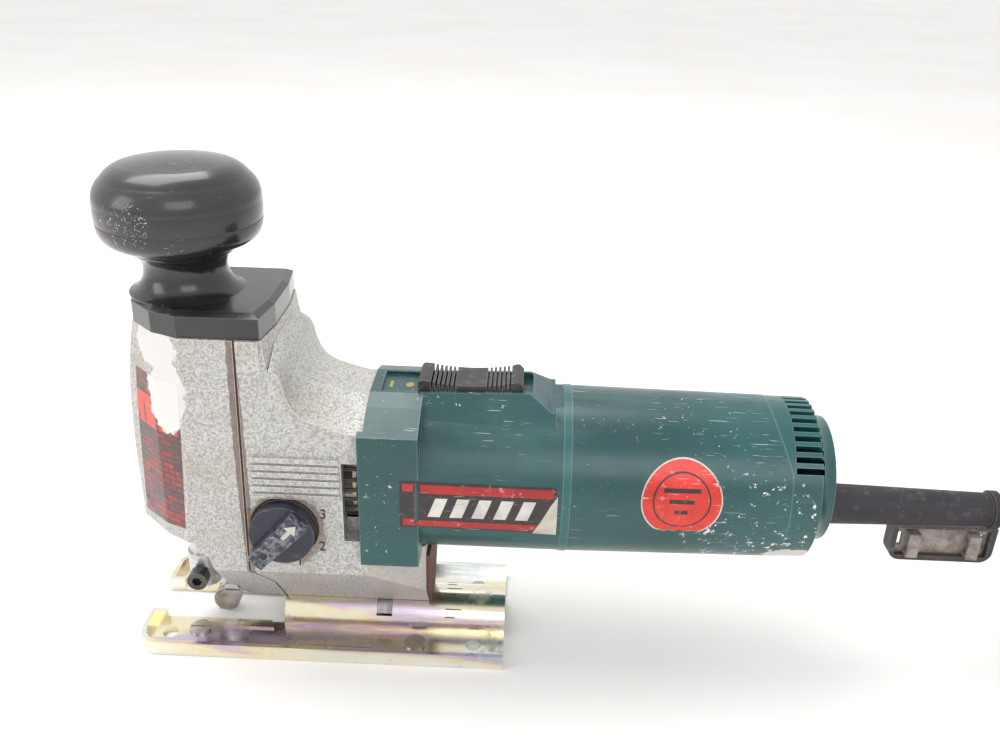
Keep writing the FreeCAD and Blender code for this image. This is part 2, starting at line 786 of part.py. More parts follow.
def barrel_housing():
    """Green rear motor shell, tapering a little towards the end cap."""
    start = "motor_rear_x + ring_width"
    piece = Piece("barrel_housing", (0, 0, "motor_axis_z"))
    shell = [
        (start, "barrel_bore"),
        (start, "barrel_radius"),
        (236, "barrel_rear_radius"),
        (236, "barrel_bore"),
    ]
    piece.turned("X", shell)
    cut_at_cap_joint(piece, behind=True)
    piece.finish()


def joint_ring():
    """Narrow band between the two green shells."""
    front = "motor_rear_x"
    rear = "motor_rear_x + ring_width"
    at = (0, 0, "motor_axis_z")
    drilled_ring("joint_ring", "X", at, front, rear, "barrel_bore", "ring_radius").finish()


def end_cap():
    """Rear cap with the air inlet slots over its upper half."""
    piece = Piece("end_cap", (0, 0, "motor_axis_z"))
    outline = [
        (222, 28.4),
        (222, "barrel_rear_radius"),
        ("cap_rear_x - 7", 31.6, 7.5),
        ("cap_rear_x", 24.5),
        ("cap_rear_x", 0),
        ("cap_rear_x - cap_wall", 0),
        ("cap_rear_x - cap_wall", 23.8),
        ("cap_rear_x - 9", 28.4),
    ]
    piece.turned("X", outline)
    cut_at_cap_joint(piece, behind=False)
    for slot in range(16):
        turn = math.radians(7.6 * (slot - 7.5))
        window = tilted_box(turn, -1.15, 25, 1.15, 35)
        piece.prism("YZ", 234.6, 246.5, window, cut=True)
    sleeve = (0, "sleeve_z - motor_axis_z", 8.4)
    piece.prism("YZ", 245, 260, circles=[sleeve], cut=True)
    for side in ("tie_y", "-tie_y"):
        piece.prism("YZ", 245, 260, circles=[(side, 0, 2)], cut=True)
        piece.prism("YZ", "cap_rear_x - 2.2", 260, circles=[(side, 0, 3.5)], cut=True)
    piece.finish()


def switch_parts():
    """Ribbed thumb slider with its stem, the bar that it pushes and the switch block."""
    piece = Piece("switch_slider")
    saddle = [
        ("slider_front_x", "slider_low_z"),
        ("slider_rear_x", "slider_low_z"),
        ("slider_rear_x", 116.2),
        ("slider_rear_x - 1.4", 117.7, 2),
        ("slider_rear_x - 3.6", 117.6, -84),
        ("slider_front_x + 3.6", 117.2),
        ("slider_front_x + 1.4", 117.3, 2),
        ("slider_front_x", 115.8),
    ]
    piece.prism("XZ", "-slider_half", "slider_half", saddle)
    for rib in range(6):
        for start in (98, 119.2):
            groove = box_outline(start + 1.7 * rib, 113.4, start + 1.7 * rib + 0.8, 120)
            piece.prism("XZ", -10, 10, groove, cut=True)
    piece.prism("XZ", -3.6, 3.6, box_outline(108, "bar_top_z", 118, 112))
    piece.finish()
    bar = Piece("switch_bar")
    bar.prism("XZ", -3, 3, box_outline(108, "bar_top_z - 2", 199.5, "bar_top_z"))
    bar.prism("XZ", -3, 3, box_outline(197.5, 99, 199.5, "bar_top_z - 1"))
    bar.finish()
    block = Piece("switch_module")
    block.prism("YZ", 200, 222, box_outline(-12, 86, 12, 102))
    block.prism("YZ", 202, 220, box_outline(-9, 84, 9, 87))
    block.finish()
    board = Piece("speed_module")
    board.prism("YZ", 196, 226, box_outline(-17, 55.5, 17, 57.5))
    board.prism("YZ", 199, 223, box_outline(-12, 57, 12, 66))
    board.finish()


def plunger_parts():
    """Stepped plunger rod, its scotch yoke, guide bushes and the blade clamp."""
    rod = [
        (0, "rod_low_z"),
        ("rod_radius", "rod_low_z"),
        ("rod_radius", "rod_step_z"),
        ("stem_radius", "rod_step_z"),
        ("stem_radius", "stem_top_z"),
        (0, "stem_top_z"),
    ]
    turned_piece("plunger", "Z", (0, 0, 0), rod).finish()
    yoke = Piece("yoke", (0, 0, "gear_axis_z - crank_drop"))
    yoke.prism("XY", "-yoke_rise", "yoke_rise", circles=[(0, 0, 8.2)])
    plate = box_outline("-yoke_half", "-yoke_rise", "yoke_half", "yoke_rise")
    yoke.prism("YZ", "yoke_front_x", "yoke_rear_x", plate)
    yoke.prism("XY", -10, 10, circles=[(0, 0, "stem_radius")], cut=True)
    slot = box_outline(-13.8, -3.8, 13.8, 3.8)
    yoke.prism("YZ", 8.5, 15, slot, cut=True)
    yoke.finish()
    gap = "running_gap"
    low = drilled_ring(
        "lower_bush", "Z", (0, 0, 0), "bush_low_z", "bush_low_top_z", f"rod_radius + {gap}", "bush_radius"
    )
    low.finish()
    wiper = drilled_ring(
        "plunger_wiper", "Z", (0, 0, 0), "bush_low_top_z", "wiper_top_z", f"rod_radius + {gap}", "bush_radius"
    )
    wiper.finish()
    high = drilled_ring(
        "upper_bush", "Z", (0, 0, 0), "bush_high_z", "bush_high_top_z", f"stem_radius + {gap}", "bush_radius"
    )
    high.finish()
    clamp = Piece("blade_clamp")
    clamp.prism("XY", "clamp_low_z", "clamp_top_z", circles=[(0, 0, "clamp_radius")])
    clamp.prism("XY", "rod_low_z", 35, circles=[(0, 0, "rod_radius")], cut=True)
    clamp.prism("XY", 10, "rod_low_z", box_outline(-4.5, -0.9, 3.2, 0.9), cut=True)
    screw_hole = [(0, "clamp_screw_z", 2.4)]
    clamp.prism("XZ", -8, -0.5, circles=screw_hole, cut=True)
    clamp.prism("XZ", -9, -6.3, box_outline(-5, 18, 5, 27), cut=True)
    clamp.finish()


def involute_wheel(teeth, shift, width, bore):
    """A spur wheel about the X axis with involute flanks, standing on X = 0."""
    module = number("gear_module")
    slope = math.radians(20)
    pitch = module * teeth / 2
    base = pitch * math.cos(slope)
    tip = pitch + module * (1 + shift)
    root = pitch - module * (1.25 - shift)
    half = (math.pi / 2 + 2 * shift * math.tan(slope)) / teeth - 0.03 / pitch

    def flank_angle(radius):
        if radius <= base:
            return half + math.tan(slope) - slope
        lean = math.acos(base / radius)
        return half + (math.tan(slope) - slope) - (math.tan(lean) - lean)

    def spot(radius, angle):
        return Vector(0, radius * math.sin(angle), radius * math.cos(angle))

    start = max(root, base)
    radii = [start + (tip - start) * step / 4 for step in range(5)]
    edges = []
    for tooth in range(teeth):
        middle = 2 * math.pi * tooth / teeth
        rise = [spot(radius, middle - flank_angle(radius)) for radius in radii]
        fall = [spot(radius, middle + flank_angle(radius)) for radius in reversed(radii)]
        if root < start:
            rise.insert(0, spot(root, middle - flank_angle(start)))
            fall.append(spot(root, middle + flank_angle(start)))
        following = middle + 2 * math.pi / teeth
        valley = spot(root, following - flank_angle(start))
        corners = rise + fall + [valley]
        edges += [Part.LineSegment(a, b).toShape() for a, b in zip(corners, corners[1:])]
    face = Part.Face(Part.Wire(edges))
    wheel = face.extrude(Vector(width, 0, 0))
    hole = Part.makeCylinder(bore, width + 2, Vector(-1, 0, 0), Vector(1, 0, 0))
    return wheel.cut(hole)


def shaped(name, shape, at=(0, 0, 0), rotation=None):
    """A sub-part whose shape is computed from the sheet's values."""
    feature = doc.addObject("Part::Feature", name)
    feature.Label = name
    feature.Shape = shape
    place(feature, at, rotation)
    nodes[name] = feature


def gear_parts():
    """Pinion and crank gear in mesh, the gear's fixed spindle and its crank pin."""
    small = int(number("pinion_teeth"))
    large = int(number("gear_teeth"))
    length = number("bulkhead_front_x - pinion_front_x")
    pinion = involute_wheel(small, 0.42, length, number("shaft_nose_radius"))
    shaped("pinion", pinion, ("pinion_front_x", 0, "motor_axis_z"))
    width = number("gear_rear_x - gear_front_x")
    wheel = involute_wheel(large, -0.42, width, number("spindle_radius + running_gap"))
    half_tooth = 180.0 / large
    wheel.rotate(Vector(0, 0, 0), Vector(1, 0, 0), 180 + half_tooth)
    across = number("sqrt(crank_throw ^ 2 - crank_drop ^ 2)")
    pin_place = Vector(-1, across, -number("crank_drop"))
    hole = Part.makeCylinder(number("crank_pin_radius"), width + 2, pin_place, Vector(1, 0, 0))
    shaped("crank_gear", wheel.cut(hole), ("gear_front_x", 0, "gear_axis_z"))
    pin = Piece("crank_pin", (0, "sqrt(crank_throw ^ 2 - crank_drop ^ 2)", "gear_axis_z - crank_drop"))
    pin.prism("YZ", "crank_pin_front_x", "gear_rear_x - 1", circles=[(0, 0, "crank_pin_radius")])
    pin.finish()
    spindle = [
        (17.6, 0),
        (17.6, 6.2),
        (19.7, 6.2),
        (19.7, "spindle_radius"),
        ("bulkhead_rear_x", "spindle_radius"),
        ("bulkhead_rear_x", 0),
    ]
    turned_piece("gear_spindle", "X", (0, 0, "gear_axis_z"), spindle).finish()


def armature_parts():
    """Shaft with its laminations, windings, commutator, fan and two bearings."""
    axis = (0, 0, "motor_axis_z")
    shaft = [
        ("pinion_front_x", 0),
        ("pinion_front_x", "shaft_nose_radius"),
        ("bulkhead_front_x", "shaft_nose_radius"),
        ("bulkhead_front_x", "shaft_radius"),
        ("rear_bearing_x + bearing_width - 1", "shaft_radius"),
        ("rear_bearing_x + bearing_width - 1", 0),
    ]
    turned_piece("armature_shaft", "X", axis, shaft).finish()
    core = drilled_ring("armature_core", "X", axis, 105, 145, 6, "armature_radius")
    groove = core.prism("XZ", -0.8, 0.8, box_outline(100, 12, 150, 20), cut=True)
    core.repeat(groove, 12, "X_Axis")
    core.finish()
    spool = [
        (99, "shaft_radius"),
        (151, "shaft_radius"),
        (151, 10),
        (149, 12.5),
        (145, 13),
        (145, 6),
        (105, 6),
        (105, 13),
        (101, 12.5),
        (99, 10),
    ]
    turned_piece("armature_windings", "X", axis, spool).finish()
    bars = drilled_ring(
        "commutator", "X", axis, "commutator_x", "commutator_end_x", "shaft_radius", "commutator_radius"
    )
    slit = bars.prism("XZ", -0.3, 0.3, box_outline(155, 9.2, 175, 12), cut=True)
    bars.repeat(slit, 24, "X_Axis")
    bars.finish()
    fan = Piece("fan", axis)
    hub = [
        ("fan_front_x", "shaft_radius"),
        ("fan_rear_x", "shaft_radius"),
        ("fan_rear_x", "fan_radius"),
        ("fan_rear_x - 1.5", "fan_radius"),
        ("fan_rear_x - 1.5", 8),
        ("fan_front_x", 8),
    ]
    fan.turned("X", hub)
    blade = fan.prism("XZ", -0.7, 0.7, box_outline("fan_front_x", 7, "fan_rear_x - 1", "fan_radius - 0.1"))
    fan.repeat(blade, 11, "X_Axis")
    fan.finish()
    bearings = []
    for name in ("front_bearing", "rear_bearing"):
        start = f"{name}_x"
        end = f"{start} + bearing_width"
        bore = "shaft_radius + running_gap"
        ring = drilled_ring(name, "X", axis, start, end, bore, "bearing_radius")
        for face, deep in ((start, f"{start} + 0.6"), (f"{end} - 0.6", end)):
            ring.turned("X", box_outline(face, 6.2, deep, 9.2), cut=True)
        bearings.append(ring.finish(alone=False))
    group("motor_bearings", bearings)


def window_outline(middle, half_width, half_height):
    """A rectangle about a middle point."""
    across, level = middle
    low = (f"{across} - {half_width}", f"{level} - {half_height}")
    high = (f"{across} + {half_width}", f"{level} + {half_height}")
    return box_outline(*low, *high)


def motor_parts():
    """Stator, field coils, brush gear, the rear bearing's bracket and the fan shroud."""
    axis = (0, 0, "motor_axis_z")
    stator = Piece("stator_core", axis)
    ring = [(0, 0, "motor_bore - 0.05"), (0, 0, "stator_bore")]
    stator.prism("YZ", "stator_front_x", "stator_rear_x", circles=ring)
    for low, high in ((26.3, 32), (-32, -26.3)):
        stator.prism("YZ", 100, 150, box_outline(-32, low, 32, high), cut=True)
    for side in (-1, 1):
        for level in (-1, 1):
            middle = ("window_y" if side > 0 else "-window_y", 15.5 * level)
            stator.prism("YZ", 100, 150, window_outline(middle, 3, 3.5), cut=True)
    stator.finish()
    coils = []
    holders = []
    brushes = []
    for side in (-1, 1):
        coil = Piece(f"field_coil{side + 1}", axis)
        loop = [
            (12.6 * side, -18.8),
            (12.6 * side, 18.8),
            (18.4 * side, 18.8),
            (24.5 * side, 8),
            (24.5 * side, -8),
            (18.4 * side, -18.8),
        ]
        coil.prism("YZ", "stator_front_x - 6.5", "stator_front_x", loop)
        coil.prism("YZ", "stator_rear_x", "stator_rear_x + 6.5", loop)
        for level in (-1, 1):
            middle = ("window_y" if side > 0 else "-window_y", 15.5 * level)
            bar = window_outline(middle, 2.9, 3.3)
            coil.prism("YZ", "stator_front_x - 1", "stator_rear_x + 1", bar)
        coil.prism("YZ", 90, 160, circles=[(0, 0, "stator_bore")], cut=True)
        coils.append(coil.finish(alone=False))
        at = ("brush_x", 0, "motor_axis_z")
        holder = Piece(f"brush_holder{side + 1}", at)
        low, high = sorted((11.6 * side, 29 * side))
        holder.prism("XZ", low, high, box_outline(-5, -5, 5, 5))
        holder.prism("XZ", -30, 30, box_outline(-3.3, -3.3, 3.3, 3.3), cut=True)
        holders.append(holder.finish(alone=False))
        brush = Piece(f"carbon_brush{side + 1}", at)
        low, high = sorted((10.15 * side, 19 * side))
        brush.prism("XZ", low, high, box_outline(-3.25, -3.25, 3.25, 3.25))
        brushes.append(brush.finish(alone=False))
    group("field_coils", coils)
    group("brush_holders", holders)
    group("carbon_brushes", brushes)
    bracket = Piece("bearing_bracket", axis)
    disc = [(0, 0, "barrel_bore"), (0, 0, "bearing_radius")]
    bracket.prism("YZ", 186, 190, circles=disc)
    hub = [(0, 0, 14), (0, 0, "bearing_radius")]
    bracket.prism("YZ", 186, 193, circles=hub)
    for side in ("tie_y", "-tie_y"):
        bracket.prism("YZ", 180, 195, circles=[(side, 0, 2)], cut=True)
    for level in (-21, 21):
        bracket.prism("YZ", 180, 195, circles=[(0, level, 6.3)], cut=True)
    bracket.prism("YZ", 180, 195, box_outline(-3.6, 24, 3.6, 32), cut=True)
    bracket.finish()
    shroud = Piece("fan_shroud", axis)
    shroud.turned("X", box_outline(60.5, 24, 75, 24.9))
    for bar in range(8):
        gap = box_outline(66.4, -20.4 + 4.2 * bar, 73, -17.4 + 4.2 * bar)
        shroud.prism("XZ", -30, 30, gap, cut=True)
    shroud.finish()


def orbit_parts():
    """Selector knob on its cam shaft, the roller lever and the support roller."""
    at = ("orbit_x", 0, "orbit_z")
    knob = Piece("orbit_knob", at)
    knob.prism("XZ", -34.4, -29.2, circles=[(0, 0, "orbit_knob_radius")])
    lean = math.radians(47)
    along = (math.cos(lean), math.sin(lean))
    across = (-along[1], along[0])
    corners = ((-14.5, -3.4), (11.5, -4.2), (11.5, 4.2), (-14.5, 3.4))
    grip = [(a * along[0] + b * across[0], a * along[1] + b * across[1]) for a, b in corners]
    knob.prism("XZ", -39, -30.5, grip)
    knob.finish()
    shaft = Piece("orbit_shaft", at)
    shaft.prism("XZ", -29.2, -3, circles=[(0, 0, "orbit_shaft_radius")])
    shaft.prism("XZ", -10, 0, box_outline(-6, -6, -1.5, 6), cut=True)
    shaft.finish()
    clip = drilled_ring("orbit_clip", "Y", at, -23.7, -22.7, "orbit_shaft_radius", 6.5)
    clip.finish()
    lever = Piece("roller_lever")
    plan = [
        ("roller_x - 4", 6),
        ("roller_x - 2.6", 2.6),
        ("roller_x + 2.6", 2.6),
        ("roller_x + 4.2", 6),
        ("pivot_x + 5.2", "pivot_z - 2"),
        (27, 37),
        (37.8, 55),
        (36, 58.5),
        (33, 58.5),
        (21.5, 41),
        ("pivot_x - 4.2", "pivot_z + 4"),
        ("roller_x + 1.2", 13.4),
        ("roller_x - 3.6", 9),
    ]
    lever.prism("XZ", -4.7, 4.7, plan)
    room = ("roller_x", "roller_z", "roller_radius + 0.9")
    lever.prism("XZ", -2.9, 2.9, circles=[room], cut=True)
    lever.prism("XZ", -6, 6, circles=[("pivot_x", "pivot_z", "2 + running_gap")], cut=True)
    lever.prism("XZ", -6, 6, circles=[("roller_x", "roller_z", 1.5)], cut=True)
    lever.finish()
    at = ("roller_x", 0, "roller_z")
    pin = turned_piece("roller_pin", "Y", at, box_outline(0, -4.7, 1.5, 4.7))
    pin.finish()
    profile = [
        ("1.5 + running_gap", -2.5),
        ("roller_radius", -2.5),
        ("roller_radius", -0.9),
        ("roller_radius - 1", -0.6),
        ("roller_radius - 1", 0.6),
        ("roller_radius", 0.9),
        ("roller_radius", 2.5),
        ("1.5 + running_gap", 2.5),
    ]
    turned_piece("support_roller", "Y", at, profile).finish()


def base_parts():
    """Pressed base plate with two tray runners and a half-round hump, and its clamp saddle."""
    piece = Piece("base_plate")
    outline = [
        ("base_front_x + 9", "-base_half"),
        ("base_rear_x", "-base_half"),
        ("base_rear_x", "base_half"),
        ("base_front_x + 9", "base_half", 9.2),
        ("base_front_x", "base_half - 9"),
        ("base_front_x", "-base_half + 9", 9.2),
    ]
    piece.prism("XY", 0, "rim_height", outline)
    inner = "base_half - sheet_gauge"
    tray = [
        ("base_front_x + 9", f"-({inner})"),
        ("base_rear_x + 1", f"-({inner})"),
        ("base_rear_x + 1", inner),
        ("base_front_x + 9", inner, 7.2),
        ("base_front_x + sheet_gauge", "base_half - 9"),
        ("base_front_x + sheet_gauge", "-base_half + 9", 7.2),
    ]
    piece.prism("XY", "sheet_gauge", 10, tray, cut=True)
    tip = [("base_front_x", "slot_half"), ("base_front_x + 7", "slot_half")]
    tip += [("base_front_x + 7", "slot_half + 2"), ("base_front_x", "slot_half + 2")]
    piece.prism("XY", 0, "rim_height", tip)
    piece.prism("XY", 0, "rim_height", [(x, f"-({y})") for x, y in reversed(tip)])
    axis = (0, "sheet_gauge")
    hump = [
        ("-hump_radius", 0),
        ("hump_radius", 0),
        ("hump_radius", "sheet_gauge", "hump_radius"),
        (0, "sheet_gauge + hump_radius", "hump_radius"),
        ("-hump_radius", "sheet_gauge"),
    ]
    piece.prism("YZ", "hump_front_x", "base_rear_x", hump)
    bore = "hump_radius - sheet_gauge"
    piece.prism("YZ", 30, 135, circles=[axis + (bore,)], cut=True)
    piece.prism("YZ", 30, 135, box_outline(f"-({bore})", -1, bore, "sheet_gauge"), cut=True)
    slot = box_outline(-25, "-slot_half", "hump_front_x", "slot_half")
    piece.prism("XY", -1, 20, slot, cut=True)
    clamp = box_outline("clamp_x - 3.3", -11.5, "clamp_x + 3.3", 11.5)
    piece.prism("XY", 3, 20, clamp, cut=True)
    holes = []
    for along in ("hole_front_x", "hole_rear_x"):
        for across in ("hole_y", "-hole_y"):
            holes.append((along, across, "hole_radius"))
    for along, across in (("base_screw_x", "base_screw_y"), ("rivet_x", "rivet_y")):
        for side in ("", "-"):
            holes.append((along, side + across, 2.5))
    for circle in holes:
        piece.prism("XY", -1, 5, circles=[circle], cut=True)
    for side in (-1, 1):
        for start, end, middle, half in ((9, 75, 23.6, 1.7), (11, 32, 14.2, 1.4)):
            bead = box_outline(start, side * middle - half, end, side * middle + half)
            piece.prism("XY", "sheet_gauge - 0.5", "sheet_gauge + 0.9", bead)
    piece.finish()
    saddle = Piece("base_clamp_saddle")
    block = [(-9.1, 7.3), (9.1, 7.3), (9.1, 7.5, 10.6), (-9.1, 7.5)]
    saddle.prism("YZ", "clamp_x - 10", "clamp_x + 10", block)
    saddle.prism("XY", 0, 20, circles=[("clamp_x", 0, 3)], cut=True)
    saddle.finish()
    plate = Piece("insulating_plate")
    half = [("saddle_half", "saddle_low_z"), (16.8, 26.6), (16.8, 43.5)]
    whole = half + [(f"-({across})", height) for across, height in reversed(half)]
    plate.prism("YZ", "wedge_rear_x", "wedge_rear_x + 1.5", whole)
    plate.prism("YZ", 90, 105, circles=[(0, "sheet_gauge", "saddle_radius")], cut=True)
    plate.finish()


def rounded_path(points):
    """Straight runs joined by the largest tangent arcs that they allow, and the arcs' radii."""
    spots = [Vector(*point) for point in points]
    edges = []
    radii = []
    last = spots[0]
    for before, corner, after in zip(spots, spots[1:], spots[2:]):
        arriving = (corner - before).normalize()
        leaving = (after - corner).normalize()
        half_turn = arriving.getAngle(leaving) / 2
        reach = ARC_SHARE * min(corner.distanceToPoint(before), corner.distanceToPoint(after))
        radius = reach / math.tan(half_turn)
        inward = (leaving - arriving).normalize()
        start = corner - arriving * reach
        end = corner + leaving * reach
        middle = corner + inward * (radius / math.cos(half_turn) - radius)
        edges.append(Part.LineSegment(last, start).toShape())
        edges.append(Part.Arc(start, middle, end).toShape())
        radii.append(round(radius, 1))
        last = end
    edges.append(Part.LineSegment(last, spots[-1]).toShape())
    return Part.Wire(edges), radii


def cord_tube(name, points):
    """A round tube along a route, checked against its section times its length."""
    radius = number("cord_radius")
    path, radii = rounded_path(points)
    start = Vector(*points[0])
    section = Part.Circle(start, Vector(*points[1]) - start, radius).toShape()
    tube = path.makePipeShell([Part.Wire(section)], True, True)
    expected = math.pi * radius * radius * path.Length
    if abs(tube.Volume / expected - 1) > 0.005:
        raise RuntimeError(f"{name} has volume {tube.Volume}, not {expected}")
    print(f"{name}: length {path.Length:.1f} mm, arc radii {radii} mm")
    shaped(name, tube)


def free_cord():
    """The cord, the solid that its wound turns fill, and a flat two-pin plug lying beside it."""
    cord_tube("cord", CORD_ROUTE)
    cord_tube("cord_tail", TAIL_ROUTE)
    inner = "coil_mean_radius - 3 * cord_radius"
    outer = "coil_mean_radius + 3 * cord_radius"
    at = ("coil_x", "coil_y", 0)
    drilled_ring("cord_coil", "Z", at, 0, "6 * cord_radius", inner, outer).finish()
    at = ("plug_x", "plug_y", "plug_z")
    plug = Piece("plug_body", at)
    sections = []
    for along, half, rise in (
        (0, 4.4, 4.4),
        (13, 5.4, 5.2),
        (20, 12.5, 7.5),
        (31, 17.5, 8.4),
        (46, 17.8, 8.4),
    ):
        trim = 0.4 * rise
        corner = [(-half, rise - trim), (-half, trim - rise), (trim - half, -rise), (half - trim, -rise)]
        sections.append((along, corner + [(-y, -z) for y, z in corner]))
    plug.loft("YZ", sections)
    plug.finish()
    pins = []
    for side in (-1, 1):
        rod = doc.addObject("Part::Cylinder", f"plug_pin{side + 1}")
        bind(rod, "Radius", "pin_radius")
        rod.Height = 19
        place(rod, ("plug_x + 46", f"plug_y + {side} * pin_spacing / 2", "plug_z"), UPRIGHT["+X"])
        pins.append(rod)
    group("plug_pins", pins)


def cord_parts():
    """Rubber sleeve with its key holder, and the clamp that holds the cord inside the cap."""
    axis = (0, 0, "sleeve_z")
    sleeve = [
        ("cap_rear_x - 18", 0),
        ("cap_rear_x - 18", 5),
        ("cap_rear_x - 11", 5),
        ("cap_rear_x - 11", 10.6),
        ("cap_rear_x - cap_wall", 10.6),
        ("cap_rear_x - cap_wall", 8.4),
        ("cap_rear_x", 8.4),
        ("sleeve_end_x - 3.5", 6.8),
        ("sleeve_end_x - 3", 7.8),
        ("sleeve_end_x", 7.8),
        ("sleeve_end_x + 0.5", 6.6),
        ("cord_exit_x", 5),
        ("cord_exit_x", 0),
    ]
    turned_piece("cord_sleeve", "X", axis, sleeve).finish()
    holder = Piece("key_holder", axis)
    frame = [
        (285, -18.5),
        (285, -4),
        (327, -4),
        (327, -18.5, -5),
        (322, -23.5),
        (290, -23.5, -5),
    ]
    holder.prism("XZ", -3.4, 3.4, frame)
    for low, high in ((-4, -1), (1, 4)):
        holder.prism("XZ", low, high, box_outline(287.4, -21.3, 324.6, -8.5), cut=True)
    for start in (288, 321.6):
        holder.prism("XZ", -4, 4, box_outline(start, -18, start + 2.4, -11.5), cut=True)
    for start in (291.4, 315.6):
        holder.prism("XZ", -5.6, -0.5, box_outline(start, -21, start + 4.6, -10))
        holder.prism("XZ", -4.4, -1.1, box_outline(start - 1, -19, start + 5.6, -12), cut=True)
    end = "sleeve_end_x + 5"
    groove = [("cap_rear_x", 0)] + sleeve[6:10] + [(end, 7.8), (end, 0)]
    holder.turned("X", groove, cut=True)
    holder.finish()
    clamp = Piece("cord_clamp")
    clamp.prism("YZ", "cap_rear_x - 17.5", "cap_rear_x - 11.5", box_outline(-15, 59, 15, 72))
    clamp.prism("YZ", 230, 250, circles=[(0, "sleeve_z", 5)], cut=True)
    clamp.finish()


for build in (
    nose_cover,
    housing_gasket,
    gear_housing,
    knob_base,
    knob_cap,
    fasteners,
    motor_housing,
    barrel_housing,
    joint_ring,
    end_cap,
    switch_parts,
    plunger_parts,
    gear_parts,
    armature_parts,
    motor_parts,
    orbit_parts,
    base_parts,
    cord_parts,
    free_cord,
):
    build()
doc.recompute()

for thing in doc.Objects:
    if {"Invalid", "Error"} & set(thing.State):
        raise RuntimeError(f"{thing.Name} ({thing.Label}) failed: {thing.State}")
for feature in cuts:
    if feature.Shape.Volume > feature.BaseFeature.Shape.Volume - 1e-6:
        raise RuntimeError(f"{feature.Name} cut nothing")
for name, node in nodes.items():
    shape = node.Shape
    if shape.isNull() or not shape.isValid() or not shape.Solids:
        raise RuntimeError(f"{name} has no valid solid")

os.makedirs("parts", exist_ok=True)
for name, node in nodes.items():
    node.Shape.exportStep(f"parts/{name}.step")
print(f"{len(nodes)} sub-parts written")
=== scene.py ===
import math

import bpy
import bmesh
from mathutils import Matrix, Vector
from mathutils.bvhtree import BVHTree


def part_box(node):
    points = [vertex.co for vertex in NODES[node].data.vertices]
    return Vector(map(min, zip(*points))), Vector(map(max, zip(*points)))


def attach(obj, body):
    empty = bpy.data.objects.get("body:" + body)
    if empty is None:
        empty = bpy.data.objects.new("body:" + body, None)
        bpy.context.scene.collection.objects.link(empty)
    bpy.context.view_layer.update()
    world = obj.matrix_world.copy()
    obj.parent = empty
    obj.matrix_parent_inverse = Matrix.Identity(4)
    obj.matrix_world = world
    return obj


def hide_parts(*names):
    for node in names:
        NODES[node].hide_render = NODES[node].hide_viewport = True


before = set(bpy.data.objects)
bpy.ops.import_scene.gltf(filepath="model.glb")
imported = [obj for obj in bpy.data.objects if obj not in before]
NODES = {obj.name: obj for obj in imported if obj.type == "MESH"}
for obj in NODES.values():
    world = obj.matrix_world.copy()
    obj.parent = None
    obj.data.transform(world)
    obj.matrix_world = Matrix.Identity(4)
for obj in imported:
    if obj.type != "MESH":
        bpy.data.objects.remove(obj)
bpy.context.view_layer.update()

MM = 0.001
CORD_RADIUS = 3.7 * MM
CLEAR = 60  # how far to the side of the tool a film's rays start, in millimetres

# The free cord's route in millimetres, at the CAD tube's points. The coil and its approach are
# drawn here, so the first route stops where the cord starts to turn into the coil.
CORD_ROUTE = [
    (345, 0, 65.5),
    (368, 0, 65.5),
    (391, 5, 55.5),
    (413, 6, 41),
    (431, -3, 28),
    (440.6, -22, 20.5),
]
TAIL_ROUTE = [(393, 25.2, 3.7), (406, 24.9, 5.6), (417, 24.9, 8.5), (426, 24.9, 8.5)]


# ---------------------------------------------------------------- camera and cord


def make_camera():
    """The photograph's viewpoint, in the CAD frame."""
    sensor, focal_share = 36, 0.966  # the lens is given as a share of the sensor's width
    yaw, pitch, roll = (math.radians(angle) for angle in (-1.27, 24.8, 1.67))
    forward = Vector(
        (math.sin(yaw) * math.cos(pitch), math.cos(yaw) * math.cos(pitch), -math.sin(pitch))
    )
    right = Vector((math.cos(yaw), -math.sin(yaw), 0))
    up = right.cross(forward)
    right_rolled = math.cos(roll) * right + math.sin(roll) * up
    up_rolled = math.cos(roll) * up - math.sin(roll) * right
    camera = bpy.data.objects.new("camera", bpy.data.cameras.new("camera"))
    bpy.context.scene.collection.objects.link(camera)
    camera.data.sensor_width = sensor
    camera.data.lens = sensor * focal_share
    camera.data.clip_start = 0.01
    camera.rotation_mode = "QUATERNION"
    camera.location = (0.1314, -0.3377, 0.2730)
    camera.rotation_quaternion = (
        Matrix((right_rolled, up_rolled, -forward)).transposed().to_quaternion()
    )
    bpy.context.scene.camera = camera


def smooth(share):
    """An S-shaped rise from 0 to 1."""
    share = min(max(share, 0.0), 1.0)
    return share * share * (3 - 2 * share)


def coil_points():
    """The wound turns, in a block three cords wide and three high.

    A cell is a turn's (column from outside, layer from the floor). The cord crosses from one cell
    to the next over a short arc, and the later crossings start sooner, so that they don't pile up.
    """
    low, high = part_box("cord_coil")
    centre = (low + high) / 2
    outer = (high.x - low.x) / 2 - CORD_RADIUS
    pitch = 2 * CORD_RADIUS
    cells = [(0, 2), (1, 2), (2, 2), (2, 1), (2, 0), (1, 0), (1, 1), (0, 1), (0, 0)]
    first_angle, total = -5.0, 2763.2
    shifts = [0, 0, 1, 1, 2, 3, 4, 5]
    moves = [360 * (turn + 1) - 45 * shift - 30 for turn, shift in enumerate(shifts)]
    half_arc = 38
    step = 22.5
    # A quadratic spline cuts its control points' corners, so the points lie slightly outside.
    fit = 0.75 + 0.25 * math.cos(math.radians(step))
    points = []
    count = int(total / step)
    for index in range(1, count + 1):
        turned = total * index / count
        column, layer = cells[0]
        for move, cell in zip(moves, cells[1:]):
            share = smooth((turned - move + half_arc) / (2 * half_arc))
            if share:
                column += (cell[0] - column) * share
                layer += (cell[1] - layer) * share
        radius = (outer - pitch * column) / fit
        angle = math.radians(first_angle - turned)
        points.append(
            (
                centre.x + radius * math.cos(angle),
                centre.y + radius * math.sin(angle),
                CORD_RADIUS + pitch * layer,
            )
        )
    return points


